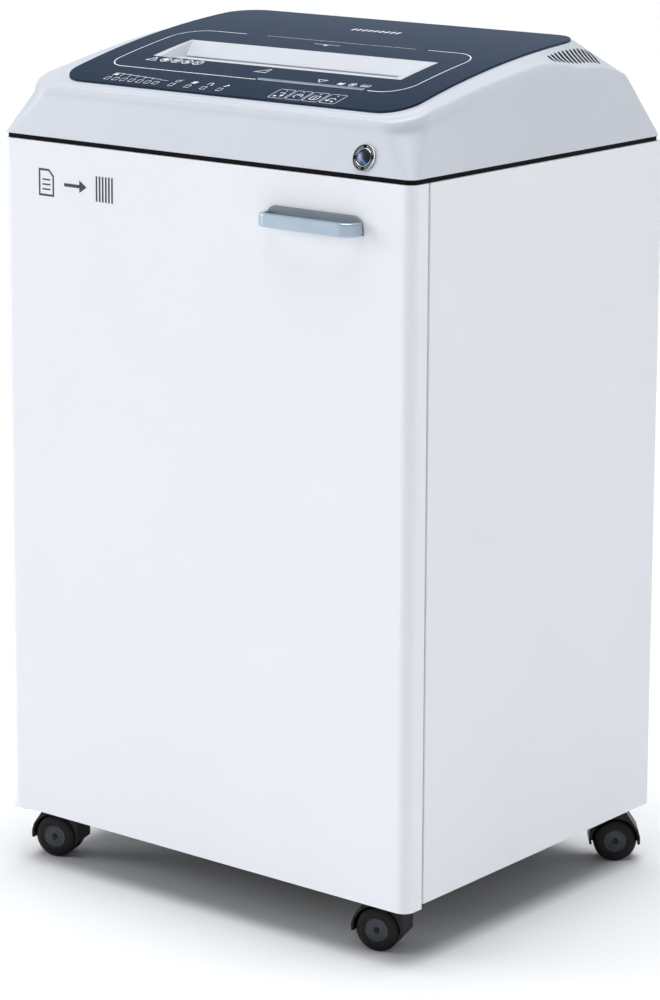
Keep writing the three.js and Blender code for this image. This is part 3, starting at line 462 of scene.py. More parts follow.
def smooth_line(knots):
    """Points on a smooth curve through knots whose first value always grows."""
    slopes = []
    for i, (x, _) in enumerate(knots):
        a = knots[max(i - 1, 0)]
        b = knots[min(i + 1, len(knots) - 1)]
        slopes.append((b[1] - a[1]) / (b[0] - a[0]))
    curve = []
    for (a, b), (ma, mb) in zip(zip(knots, knots[1:]), zip(slopes, slopes[1:])):
        step = (b[0] - a[0]) / 3
        handles = [Vector((a[0], a[1], 0)), Vector((a[0] + step, a[1] + ma * step, 0)),
                   Vector((b[0] - step, b[1] - mb * step, 0)), Vector((b[0], b[1], 0))]
        curve += [(p.x, p.y) for p in interpolate_bezier(*handles, 9)][:-1]
    return curve + [knots[-1]]


def reading(curve, x):
    if x <= curve[0][0]:
        return curve[0][1]
    for (x0, y0), (x1, y1) in zip(curve, curve[1:]):
        if x <= x1:
            return y0 + (y1 - y0) * (x - x0) / (x1 - x0)
    return curve[-1][1]


SHOULDER_CURVE = smooth_line(SHOULDER_LINE)


def top_z(y):
    v = (y - MID_Y) / HALF_DEPTH
    return HEAD_BASE + HEAD_HEIGHT + TOP_RISE * v - TOP_CROWN * v * v


def shoulder_z(y):
    return HEAD_BASE + reading(SHOULDER_CURVE, (y - MID_Y) / HALF_DEPTH)


def ring(half, front, back, front_radius, back_radius, side_steps=40, end_steps=40, turn=14):
    """An anticlockwise rounded rectangle whose points match from ring to ring."""
    bends = [
        arc(half - front_radius, front + front_radius, front_radius, 270, 360, turn),
        arc(half - back_radius, back - back_radius, back_radius, 0, 90, turn),
        arc(-half + back_radius, back - back_radius, back_radius, 90, 180, turn),
        arc(-half + front_radius, front + front_radius, front_radius, 180, 270, turn)]
    outline = []
    for i, bend in enumerate(bends):
        steps = side_steps if i % 2 == 0 else end_steps
        (x0, y0), (x1, y1) = bend[-1], bends[(i + 1) % 4][0]
        outline += bend
        outline += [(x0 + (x1 - x0) * k / steps, y0 + (y1 - y0) * k / steps)
                    for k in range(1, steps)]
    return outline


PANEL_HALF = panel_high.x
PANEL_OUTLINE = ring(PANEL_HALF, panel_low.y, panel_high.y, PANEL_FRONT_RADIUS, PANEL_BACK_RADIUS)


# ---------------------------------------------------------------- the moulded head cover
def head_rings():
    rim = ring(HALF_WIDTH, FRONT_Y, cover_high.y, RIM_RADIUS, RIM_RADIUS)
    shoulder = ring(HALF_WIDTH - SHOULDER_IN, FRONT_Y + SHOULDER_FRONT,
                    cover_high.y - SHOULDER_BACK, SHOULDER_RADIUS, SHOULDER_RADIUS)
    edge = ring(PANEL_HALF + PANEL_LEDGE, panel_low.y - PANEL_LEDGE,
                panel_high.y + PANEL_LEDGE, PANEL_FRONT_RADIUS + PANEL_LEDGE,
                PANEL_BACK_RADIUS + PANEL_LEDGE)
    rings = []
    for share in (0.0, 0.012, 0.25, 0.5, 0.75, 0.9, 0.96):
        pull = 0.5 if share == 0 else 0.0   # small radius along the lower rim
        rings.append([(
            (x + (sx - x) * share) * (1 - pull / HALF_WIDTH),
            y + (sy - y) * share - math.copysign(pull, y),
            HEAD_BASE + (shoulder_z(sy) - HEAD_BASE) * share)
            for (x, y), (sx, sy) in zip(rim, shoulder)])
    for across, up in smooth_line(BAND_PROFILE)[1:]:
        level = []
        for (x, y), (ex, ey) in zip(shoulder, edge):
            low, high = shoulder_z(y), top_z(ey)
            share = min(max(((y - MID_Y) / HALF_DEPTH - 0.05) / 0.45, 0), 1)
            share = share * share * (3 - 2 * share)
            level.append((x + (ex - x) * across, y + (ey - y) * across,
                          low + (high - low) * (up + (across - up) * share)))
        rings.append(level)
    middle = (panel_low.y + panel_high.y) / 2
    for share in (0.8, 0.6, 0.4, 0.2):
        inner = [(x * share, middle + (y - middle) * share) for x, y in edge]
        rings.append([(x, y, top_z(y)) for x, y in inner])
    return rings, (0, middle, top_z(middle))


def head_shell():
    rings, centre = head_rings()
    count = len(rings[0])
    points = [p for level in rings for p in level] + [centre]
    faces = []
    for k in range(len(rings) - 1):
        for i in range(count):
            a, b = k * count + i, k * count + (i + 1) % count
            faces.append((a, b, b + count, a + count))
    last = (len(rings) - 1) * count
    faces += [(last + i, last + (i + 1) % count, len(points) - 1) for i in range(count)]
    shell = link(mesh_of("head_cover_fine", points, faces))
    shell.data.materials.append(abs_white)
    wall = shell.modifiers.new("wall", "SOLIDIFY")
    wall.thickness = COVER_WALL * MM
    wall.offset = -1
    settled(shell)
    feed = link(box_mesh("feed_cut", (throat_low.x - 2, throat_low.y - 2, HEAD_BASE + 30),
                         (throat_high.x + 2, throat_high.y + 2, HEAD_BASE + 160)))
    feed.data.materials.append(abs_white)
    return cut_away(shell, feed, vent_cutters())


VENT_COUNT = 12
VENT_PITCH = 6.6
VENT_WIDE = 3.9
VENT_FIRST = MID_Y + 0.25 * HALF_DEPTH


def vent_cutters():
    """Long round-ended cutters, one for each cooling slot on both flanks."""
    meshes = []
    for side in (-1, 1):
        for i in range(VENT_COUNT):
            y = VENT_FIRST + i * VENT_PITCH
            grow = min(1, i / 3)
            inner = PANEL_HALF + 8 - 1.5 * grow
            outer = inner + 11 + 4 * grow
            half = VENT_WIDE / 2
            outline = (arc(outer - half, y, half, -90, 90, 8)
                       + arc(inner + half, y, half, 90, 270, 8))
            if side < 0:
                outline = [(-x, py) for x, py in outline][::-1]
            meshes.append(column("vent", outline, HEAD_BASE + 50, HEAD_BASE + 140))
    cutters = link(joined_meshes("vent_cutters", meshes))
    cutters.data.materials.append(slot_shade)
    return cutters


finish(head_shell(), abs_white, "cabinet", ("head_cover",), 24.0)

# A near-black sheet behind the cooling slots: painted shade that keeps the inside dark.
for side, label in ((-1, "left"), (1, "right")):
    points, faces = [], []
    for k in range(13):
        y = VENT_FIRST - 8 + k * 7.6
        for x in (PANEL_HALF + 2, PANEL_HALF + 27):
            drop = 15 if x < PANEL_HALF + 10 else 30
            points.append((side * x, y, top_z(y) - drop))
    for k in range(12):
        a = 2 * k
        quad = (a, a + 1, a + 3, a + 2)
        faces.append(quad if side > 0 else quad[::-1])
    sheet = link(mesh_of(f"vent_painted_shade_sheet_{label}", points, faces))
    thick = sheet.modifiers.new("gauge", "SOLIDIFY")
    thick.thickness = 0.8 * MM
    settled(sheet)
    finish(sheet, black_and_painted_shade, "cabinet")


# ---------------------------------------------------------------- control panel and its print
def strip_solid(name, outline, lower, upper):
    """A plate on an outline, cut into strips along its slope so that it follows the crown."""
    low_y = min(p[1] for p in outline)
    high_y = max(p[1] for p in outline)
    steps = 60
    points, faces = [], []
    wide = max(p[0] for p in outline) + 5
    for k in range(steps + 1):
        y = low_y - 2 + (high_y - low_y + 4) * k / steps
        z = top_z(y)
        points += [(-wide, y, z + lower), (wide, y, z + lower),
                   (wide, y, z + upper), (-wide, y, z + upper)]
    for k in range(steps):
        a = 4 * k
        for i in range(4):
            j = (i + 1) % 4
            faces.append((a + i, a + 4 + i, a + 4 + j, a + j))
    faces += [(0, 1, 2, 3), tuple(4 * steps + i for i in (3, 2, 1, 0))]
    plate = link(outward(mesh_of(name, points, faces)))
    keep = link(column("keep", outline, HEAD_BASE, HEAD_BASE + 200))
    modifier = plate.modifiers.new("keep", "BOOLEAN")
    modifier.operation = "INTERSECT"
    modifier.object = keep
    settled(plate)
    bpy.data.objects.remove(keep)
    return plate


panel = strip_solid("control_panel_fine", PANEL_OUTLINE, 0.3, PANEL_OVER)
feed_cut = link(box_mesh("feed_cut", (throat_low.x - 0.3, throat_low.y - 0.3, HEAD_BASE),
                         (throat_high.x + 0.3, throat_high.y + 0.3, HEAD_BASE + 200)))
cut_away(panel, feed_cut)
rounded(panel, 0.7, 3, 50)
finish(panel, film, "cabinet", ("control_panel",), 40.0)

bar_low, bar_high = corners_mm("panel_trim_bar")
bar_mid = (bar_low.y + bar_high.y) / 2
bar_outline = (arc(bar_high.x - 1.6, bar_mid, 1.6, -90, 90, 10)
               + arc(bar_low.x + 1.6, bar_mid, 1.6, 90, 270, 10))
bar = strip_solid("panel_trim_bar_fine", bar_outline, PANEL_OVER + 0.3, PANEL_OVER + 1.5)
rounded(bar, 0.4, 3, 50)
finish(bar, silver, "cabinet", ("panel_trim_bar",), 40.0)


class Print:
    """Ink laid on a surface: flat marks given in that surface's own two directions."""

    def __init__(self, lay):
        self.lay = lay
        self.points = []
        self.faces = []

    def area(self, outline):
        start = len(self.points)
        self.points += [self.lay(x, y) for x, y in outline]
        self.faces.append(tuple(range(start, len(self.points))))

    def line(self, path, wide, closed=False, step=4.0):
        """A stroke of even width along a path, mitred at its turns."""
        dense = []
        pairs = list(zip(path, path[1:])) + ([(path[-1], path[0])] if closed else [])
        for (x0, y0), (x1, y1) in pairs:
            parts = max(1, math.ceil(math.hypot(x1 - x0, y1 - y0) / step))
            dense += [(x0 + (x1 - x0) * i / parts, y0 + (y1 - y0) * i / parts)
                      for i in range(parts)]
        if not closed:
            dense.append(path[-1])
        count = len(dense)
        start = len(self.points)
        for i, (x, y) in enumerate(dense):
            before = Vector(dense[i - 1] if i or closed else dense[i])
            after = Vector(dense[(i + 1) % count] if i + 1 < count or closed else dense[i])
            here = Vector((x, y))
            a = (here - before).normalized() if here != before else (after - here).normalized()
            b = (after - here).normalized() if here != after else a
            normal = Vector((-(a.y + b.y), a.x + b.x)).normalized()
            reach = wide / 2 / max(0.4, normal.dot(Vector((-a.y, a.x))))
            for sign in (1, -1):
                self.points.append(self.lay(x + normal.x * reach * sign,
                                            y + normal.y * reach * sign))
        for i in range(count if closed else count - 1):
            a, b = start + 2 * i, start + 2 * ((i + 1) % count)
            self.faces.append((a, a + 1, b + 1, b))

    def disc(self, x, y, radius):
        self.area(arc(x, y, radius, 0, 360 - 18, 19))

    def hoop(self, x, y, radius, wide):
        self.line(arc(x, y, radius, 0, 360 - 15, 23), wide, closed=True)

    def patch(self, x, y, half_x, half_y):
        self.area([(x - half_x, y - half_y), (x + half_x, y - half_y),
                   (x + half_x, y + half_y), (x - half_x, y + half_y)])

    def frame(self, x, y, half_x, half_y, radius, wide):
        corners = (arc(x + half_x - radius, y - half_y + radius, radius, -90, 0, 4)
                   + arc(x + half_x - radius, y + half_y - radius, radius, 0, 90, 4)
                   + arc(x - half_x + radius, y + half_y - radius, radius, 90, 180, 4)
                   + arc(x - half_x + radius, y - half_y + radius, radius, 180, 270, 4))
        self.line(corners, wide, closed=True)

    def made(self, name, material, body):
        mesh = mesh_of(name, self.points, self.faces)
        obj = link(mesh)
        thick = obj.modifiers.new("ink", "SOLIDIFY")
        thick.thickness = 0.04 * MM
        thick.offset = 0
        settled(obj)
        finish(obj, material, body, (), 60.0)
        return obj


def on_panel(x, y):
    return (x, y + MID_Y, top_z(y + MID_Y) + PANEL_OVER + 0.07)


marks = Print(on_panel)
# The thin loop round the feed slot, open at the back and where the raised bar takes its place.
LOOP = 1.25
loop_front, loop_back, loop_right, loop_left = -131.0, 4.0, 188.0, -194.0
marks.line([(148, loop_front)] + arc(loop_right - 30, loop_front + 30, 30, -90, 0, 12)
           + arc(loop_right - 32, loop_back - 32, 32, 0, 90, 12) + [(119, loop_back)], LOOP)
marks.line([(7, loop_front)] + arc(loop_left + 22, loop_front + 22, 22, 270, 180, 12)
           + arc(loop_left + 34, loop_back - 34, 34, 180, 90, 12) + [(-118, loop_back)], LOOP)
marks.line([(-90, loop_back), (104, loop_back)], 0.5)
# Sheet side marks by the slot and the way-in arrows.
marks.line([(-11, -111.5), (3.5, -111.5), (3.5, -101.5)], 1.0, closed=True)
marks.line([(75.5, -115.5), (86.5, -115.5), (80.5, -122)], 0.9, closed=True)
# A row of plain pictograms: a triangle and four hoops.
marks.line([(-158.5, -108), (-146.5, -108), (-152, -98)], 1.1, closed=True)
marks.patch(-152.3, -103.8, 0.5, 1.9)
for i, x in enumerate((-136, -121.3, -107, -92.5)):
    marks.hoop(x, -103, 5.6, 1.1)
    if i == 0:
        marks.disc(x, -103, 3.2)
    elif i == 1:
        marks.patch(x, -102, 3.4, 1.2)
        marks.patch(x, -105.2, 2.2, 0.8)
    elif i == 2:
        marks.area([(x - 3.4, -105.4), (x + 3.4, -105.4), (x, -99)])
    else:
        marks.line([(x - 3, -105.6), (x + 3, -100.2)], 1.2)
        marks.line([(x - 3, -100.8), (x + 2, -106)], 1.0)
# Three small filled marks right of the bar's end.
marks.area([(103.5, -123.5), (110.5, -123.5), (111.5, -118), (107.5, -119.5), (104.5, -117.5)])
marks.hoop(121.5, -120.5, 4.0, 0.8)
marks.patch(121.5, -120.5, 1.6, 1.6)
marks.frame(137.5, -120.3, 5.2, 2.4, 0.8, 0.7)
marks.patch(137.5, -121.1, 4.0, 0.5)
# Load scale: a rising stepped line above seven lamp windows.
for i in range(7):
    x = -160.6 + 10.75 * i
    marks.frame(x, -164.4, 2.8, 3.5, 0.6, 0.65)
for i in range(6):
    x = -161 + 10.75 * i
    height = -150.2 - 0.9 * i
    marks.line([(x, -157.5), (x, height), (x + 10.75, height)], 0.75)
marks.line([(-97, -156.3), (-86, -156.3)], 0.5)
marks.patch(-158, -153.6, 2.4, 1.9)
# Four state lamps with their signs.
for i, x in enumerate((-73.5, -52.4, -31.6, -10.8)):
    marks.frame(x - 1, -164.4, 2.7, 3.4, 0.6, 0.65)
    if i == 0:
        marks.hoop(x, -155, 2.6, 0.7)
        marks.line([(x + 1.6, -153), (x + 3.4, -150.4)], 0.8)
    elif i == 1:
        marks.area([(x - 3.2, -157), (x + 2.4, -157), (x + 3.4, -151.6), (x - 2.0, -151.6)])
    elif i == 2:
        marks.line(arc(x, -154.3, 3.0, -40, 220, 12), 0.9)
        marks.area([(x + 1.4, -157.8), (x + 4.2, -157.2), (x + 2.6, -154.8)])
    else:
        marks.area([(x - 3.4, -156.6), (x + 0.8, -156.6), (x + 0.2, -154)])
        marks.area([(x - 0.6, -155), (x + 3.8, -153.4), (x - 0.2, -151)])
# Four touch keys.
for i, x in enumerate((62.3, 83.6, 104.8, 126.4)):
    cx = x + 2
    marks.frame(cx, -159.2, 9.6, 11.0, 2.2, 0.6)
    marks.disc(cx, -151.4, 0.9)
    if i == 0:
        marks.line([(cx - 3.6, -157), (cx + 2.6, -157), (cx + 2.6, -163.6)], 1.0)
        marks.area([(cx + 0.2, -162.4), (cx + 5.0, -162.4), (cx + 2.6, -166.4)])
        marks.patch(cx - 4.2, -165.6, 1.8, 1.3)
    elif i == 1:
        marks.line(arc(cx, -160.4, 4.6, -30, 250, 14), 1.0)
        marks.patch(cx, -158.6, 2.2, 0.6)
    elif i == 2:
        marks.frame(cx, -160.8, 4.4, 4.6, 1.6, 1.0)
        marks.patch(cx, -160.8, 0.6, 2.8)
    else:
        marks.line(arc(cx, -162.4, 4.4, 20, 200, 12), 1.0)
        marks.area([(cx - 7.0, -162.4), (cx - 1.8, -162.4), (cx - 4.4, -166.4)])
        marks.patch(cx + 2.4, -165.2, 1.6, 1.0)
# Sheet-entry sign behind the slot and a plain sign of a sheet turned to strips.
marks.line([(-17, -9), (17, -9)], 0.8)
marks.area([(-4, -10.6), (4, -10.6), (0, -14.0)])
for i in range(9):
    x = -24 + 7.2 * i
    marks.area([(x, 58.5), (x + 3.4, 58.5), (x + 4.6, 67), (x + 1.2, 67)])
marks.made("panel_print", ink_white, "cabinet")


def maker(name, *sizes):
    """A node tree that takes points and named sizes: the tree, its entry and size sockets."""
    tree = bpy.data.node_groups.new(name + "_maker", "GeometryNodeTree")
    tree.interface.new_socket("Geometry", in_out="INPUT", socket_type="NodeSocketGeometry")
    sockets = [tree.interface.new_socket(label, in_out="INPUT", socket_type="NodeSocket" + kind)
               for label, kind in sizes]
    tree.interface.new_socket("Geometry", in_out="OUTPUT", socket_type="NodeSocketGeometry")
    return tree, add_node(tree, "NodeGroupInput"), sockets


def instanced(name, tree, entry, shape, material, places, values, body, slot, **turned_by):
    """Ends a maker tree: the shape on every point, made real, painted and finished."""
    spread = add_node(tree, "GeometryNodeInstanceOnPoints", {
        "Points": entry.outputs["Geometry"], "Instance": shape, **turned_by})
    real = add_node(tree, "GeometryNodeRealizeInstances",
                    {"Geometry": spread.outputs["Instances"]})
    paint = add_node(tree, "GeometryNodeSetMaterial", {
        "Geometry": real.outputs["Geometry"], "Material": material})
    add_node(tree, "NodeGroupOutput", {"Geometry": paint.outputs["Geometry"]})
    points = bpy.data.meshes.new(name)
    points.from_pydata([Vector(p) * MM for p in places], [], [])
    obj = link(points)
    modifier = obj.modifiers.new("copies", "NODES")
    modifier.node_group = tree
    for socket, value in values:
        modifier[socket.identifier] = value
    settled(obj)
    finish(obj, None, body)


def lamp_row(name, places, low, high):
    """Small raised lamp windows instanced on points laid along the panel."""
    tree, entry, (size,) = maker(name, ("Window size", "Vector"))
    window = add_node(tree, "GeometryNodeMeshCube", {"Size": entry.outputs["Window size"]})
    instanced(name, tree, entry, window.outputs["Mesh"], lamp_window,
              [on_panel(x, y) for x, y in places],
              [(size, (low * MM, high * MM, LAMP_THICK * MM))], "cabinet", "panel_blue")


LAMP_THICK = 0.16

# Lamp window: smoked clear plastic over an unlit lamp.
lamp_window = moulded("smoked_lamp_window", "#1E2838", "#2A3647", 0.14, 3.0, 0.005, 8.0, 1.5)
lamp_row("load_lamps", [(-160.6 + 10.75 * i, -164) for i in range(7)], 3.8, 4.4)
lamp_row("state_lamps", [(x - 1, -164) for x in (-73.5, -52.4, -31.6, -10.8)], 3.4, 4.2)


# ---------------------------------------------------------------- feed insert
def bar_along_x(name, profile, x0, x1):
    """A bar whose Y and Z outline runs along X."""
    n = len(profile)
    points = [(x, y, z) for x in (x0, x1) for y, z in profile]
    faces = [tuple(range(n))[::-1], tuple(range(n, 2 * n))]
    faces += [(i, (i + 1) % n, (i + 1) % n + n, i + n) for i in range(n)]
    return link(outward(mesh_of(name, points, faces)))


FEED_WALL = 3.4
FEED_RIM = 1.8
SLIT_WIDE = 7.0
END_FLANGE = 3.4
END_REACH = 8.3
HEADROOM = 60   # how far the cutting shapes stand over the insert


def throat_hollow(front, back, slit_front, slit_back, ledge, lip, neck, bottom):
    """The room cut out of the insert: its ends slant in towards the slit."""
    step = 3.0
    profile = [(front - 5, ledge - 0.2), (slit_front, ledge + 0.6), (slit_front, ledge - step),
               (slit_back, ledge - step), (slit_back, neck), (back - FEED_RIM, lip - 0.4),
               (back - FEED_RIM, lip + HEADROOM), (front - 5, lip + HEADROOM)]
    foot = throat_high.x - END_FLANGE - END_REACH
    lean = END_REACH / (lip - ledge)
    side = [(foot + lean * (z - ledge), y, z) for y, z in profile]
    points = side + [(-x, y, z) for x, y, z in side]
    faces = [tuple(range(8)), tuple(range(8, 16))[::-1]]
    faces += [(i, i + 8, (i + 1) % 8 + 8, (i + 1) % 8) for i in range(8)]
    hollow = link(outward(mesh_of("insert_hollow", points, faces)))
    half = foot - lean * step
    slit = link(box_mesh("insert_slit", (-half, slit_front, bottom - 1),
                         (half, slit_back, ledge - step / 2)))
    return hollow, slit


def throat_shape():
    """The white insert: a flat ledge, a slit whose walls are painted near-black as painted shade,
    and a hollow slope up to the back lip.
    """
    front, back = throat_low.y, throat_high.y
    slit_front = front + 32.7
    slit_back = slit_front + SLIT_WIDE
    ledge = top_z(front) - 1
    lip = top_z(back) + PANEL_OVER
    neck = ledge + 1.2
    bottom = throat_low.z
    block = bar_along_x("feed_insert_fine", [
        (front, ledge + 40), (front, ledge - FEED_WALL),
        (slit_front - FEED_WALL, ledge - FEED_WALL + 1), (slit_front - FEED_WALL, bottom),
        (slit_back + FEED_WALL, bottom), (slit_back + FEED_WALL, neck - FEED_WALL),
        (back, lip - FEED_WALL - 2), (back, ledge + 40)], throat_low.x, throat_high.x)
    left, right = throat_low.x - 5, throat_high.x + 5
    roof = strip_solid("insert_roof", [(left, front - 5), (right, front - 5),
                                       (right, back + 5), (left, back + 5)],
                       PANEL_OVER, HEADROOM)
    cut_away(block, roof, *throat_hollow(front, back, slit_front, slit_back, ledge, lip, neck,
                                         bottom))
    rounded(block, 0.6, 3, 40)
    block.data.materials.clear()
    for material in (abs_gloss, black_and_painted_shade):
        block.data.materials.append(material)
    # Faces deep in the slit take the near-black second material: painted shade on the white walls.
    for face in block.data.polygons:
        spot = face.center / MM
        in_slit = slit_front - 0.2 < spot.y < slit_back + 0.2
        if abs(spot.x) < throat_high.x - END_FLANGE and in_slit and spot.z < ledge - 1.4:
            face.material_index = 1
    return block


finish(throat_shape(), abs_gloss, "cabinet", ("feed_throat",), 30.0)

# ---------------------------------------------------------------- frame nodes with eased edges
EASED = {
    "cabinet_left_side": (melamine, "cabinet", "white_board", 1.2, 3),
    "cabinet_right_side": (melamine, "cabinet", "white_board", 1.2, 3),
    "cabinet_floor": (melamine, "cabinet", "white_board", 0.6, 2),
    "front_rail": (melamine, "cabinet", "white_board", 0.6, 2),
    "rear_rail": (melamine, "cabinet", "white_board", 0.6, 2),
    "cabinet_back": (melamine, "cabinet", "white_board", 0.5, 2),
    "door": (lacquer, "door_leaf", "white_board", 1.0, 3),
    "door_switch": (abs_black, "cabinet", "black_plastic", 0.5, 2),
    "door_pivot_lower": (lacquer, "cabinet", "steel", 0.4, 2),
    "catch_strike": (zinc, "door_leaf", "steel", 0.3, 2),
    "catch_magnet": (nylon, "cabinet", "grey_plastic", 0.5, 2),
    "waste_bin": (bin_plastic, "cabinet", "black_plastic", 1.2, 3),
    "head_base_tray": (black_and_painted_shade, "cabinet", "black_plastic", 0.5, 2),
    "unit_plate_left": (zinc, "cabinet", "steel", 0.4, 2),
    "unit_plate_right": (zinc, "cabinet", "steel", 0.4, 2),
    "motor": (enamel, "cabinet", "dark_steel", 0.8, 2),
    "run_capacitor": (sleeve, "cabinet", "white_plastic", 1.0, 2),
    "power_inlet": (abs_black, "cabinet", "black_plastic", 0.5, 2),
    "main_switch": (abs_black, "cabinet", "black_plastic", 0.5, 2),
}
for node, (material, body, slot, width, steps) in EASED.items():
    eased = link(merged_copy(node))
    rounded(eased, width, steps)
    if node == "cabinet_floor":
        # The board's underside is painted near-black: painted shade for the dark floor under the
        # cabinet.
        eased.data.materials.append(material)
        eased.data.materials.append(black_and_painted_shade)
        for face in eased.data.polygons:
            face.material_index = 1 if face.normal.z < -0.9 else 0
    finish(eased, material, body, (node,), 32.0)

PLAIN = {
    "door_switch_plunger": nylon, "door_pivot_pin_upper": zinc, "cutter_shaft_front": tool_steel,
    "cutter_shaft_rear": tool_steel, "comb_front": nylon, "comb_rear": nylon,
    "sync_gear_front": sintered, "sync_gear_rear": sintered, "drive_gear": sintered,
    "reduction_gear": sintered, "reduction_axle": bright_steel, "gear_carrier": zinc,
    "motor_shaft": bright_steel, "control_board": board_green, "switch_rocker": abs_black,
}
for node, material in PLAIN.items():
    for slot in NODES[node].material_slots:
        slot.material = material


# Sizes of the near-black strip that fills the gap under the head as painted shade.
GAP_SHADE_IN = 2.0
GAP_SHADE_WIDE = 4.0
GAP_SHADE_HIGH = 4.4


def gap_shade_strip():
    """A near-black strip round the tray's edge that fills the gap under the head: painted shade, so
    the gap stays black.
    """
    top, back = (corners_mm("head_base_tray")[1][i] for i in (2, 1))
    inset = GAP_SHADE_IN + GAP_SHADE_WIDE
    outline = ring(HALF_WIDTH - GAP_SHADE_IN, FRONT_Y + GAP_SHADE_IN, cover_high.y - GAP_SHADE_IN, 9, 9,
                   12, 12, 8)
    count = len(outline)
    outline += ring(HALF_WIDTH - inset, FRONT_Y + inset, back - 1, 5, 5, 12, 12, 8)
    points = [(x, y, z) for z in (top - GAP_SHADE_HIGH, top) for x, y in outline]
    faces = []
    for i in range(count):
        j = (i + 1) % count
        faces += [(i, j, j + 2 * count, i + 2 * count),
                  (count + j, count + i, i + 3 * count, j + 3 * count),
                  (j, i, i + count, j + count),
                  (i + 2 * count, j + 2 * count, j + 3 * count, i + 3 * count)]
    piece("tray_gap_painted_shade", mesh_of("tray_gap_painted_shade", points, faces), black_and_painted_shade, "cabinet")


gap_shade_strip()


# ---------------------------------------------------------------- door handle
def handle():
    """A bow pull with a soft-edged silver face in front of a backing plate painted dark grey as
    painted shade.
    """
    low, high = corners_mm("door_handle")
    bend, bar, plate, rise, corner = 15.0, 6.0, 1.6, 5.5, 13.0
    outer = [(low.x, high.y - plate)] + arc(low.x + bend, low.y + bend, bend, 180, 270, 12)
    outer += arc(high.x - bend, low.y + bend, bend, -90, 0, 12) + [(high.x, high.y - plate)]
    inner = [(high.x - bar, high.y - plate)]
    inner += arc(high.x - bend, low.y + bend, bend - bar, 0, -90, 12)
    inner += arc(low.x + bend, low.y + bend, bend - bar, 270, 180, 12)
    inner += [(low.x + bar, high.y - plate)]
    bow = link(column("door_handle_bow", outer + inner, low.z, high.z - rise))
    rounded(bow, 1.8, 4, 40)
    finish(bow, silver, "door_leaf", ("door_handle",), 40.0)
    edge = [(low.x, low.z), (high.x, low.z)] + arc(high.x - corner, high.z - corner,
                                                       corner, 0, 90, 12)
    edge += arc(low.x + corner, high.z - corner, corner, 90, 180, 12)
    count = len(edge)
    points = [(x, y, z) for y in (high.y - plate, high.y) for x, z in edge]
    faces = [tuple(range(count)), tuple(range(count, 2 * count))[::-1]]
    faces += [(i, i + count, (i + 1) % count + count, (i + 1) % count) for i in range(count)]
    backing = link(mesh_of("door_handle_backing", points, faces))
    rounded(backing, 0.6, 3, 40)
    # The backing plate's dark grey is painted shade.
    finish(backing, plate_shade_grey, "door_leaf", (), 40.0)


handle()


# ---------------------------------------------------------------- round badge
def badge():
    """A cast dome in a thin bright ring, a dark ring of fine ticks and a bright outer rim."""
    low, high = corners_mm("badge_ring")
    centre = (low + high) / 2
    tilt = math.atan2(SHOULDER_FRONT, SHOULDER_LINE[0][1])
    axis = Vector((0, -math.cos(tilt), math.sin(tilt)))
    seat = centre - axis * 1.3
    rim = [(0, 8.3), (1.9, 8.3), (2.2, 8.6), (1.9, 9.0), (1.4, 9.05), (1.4, 12.2), (1.8, 12.3),
           (1.9, 12.7), (1.2, 13.1), (0.6, 13.2), (0, 13.2), (0, 8.3)]
    mesh = turned("badge_ring_fine", rim, seat, axis, 72)
    piece("badge_ring_fine", mesh, brushed, "cabinet", ("badge_ring",), 40.0)
    band = [(1.42, 9.1), (1.5, 9.1), (1.5, 12.15), (1.42, 12.15), (1.42, 9.1)]
    mesh = turned("badge_dark_band", band, seat, axis, 72)
    piece("badge_dark_band", mesh, black_and_painted_shade, "cabinet", (), 40.0)
    across = Vector((1, 0, 0))
    upward = axis.cross(across)
    ticks = Print(lambda x, y: seat + axis * 1.54 + across * x + upward * y)
    for k in range(36):
        turn = 2 * math.pi * k / 36
        if k % 9 in (0, 1):
            continue
        ray = Vector((math.cos(turn), math.sin(turn)))
        ticks.line([tuple(ray * 9.9), tuple(ray * 11.4)], 0.5)
    ticks.made("badge_ticks", ink_white, "cabinet")
    dome = [(0, 0), (0, 8.1), (1.5, 8.1), (2.0, 7.2), (2.4, 5.6), (2.7, 3.6), (2.85, 1.6), (2.9, 0)]
    mesh = turned("badge_dome", dome, seat, axis, 64)
    piece("badge_dome", mesh, resin, "cabinet", ("badge_lens",), 50.0)


badge()


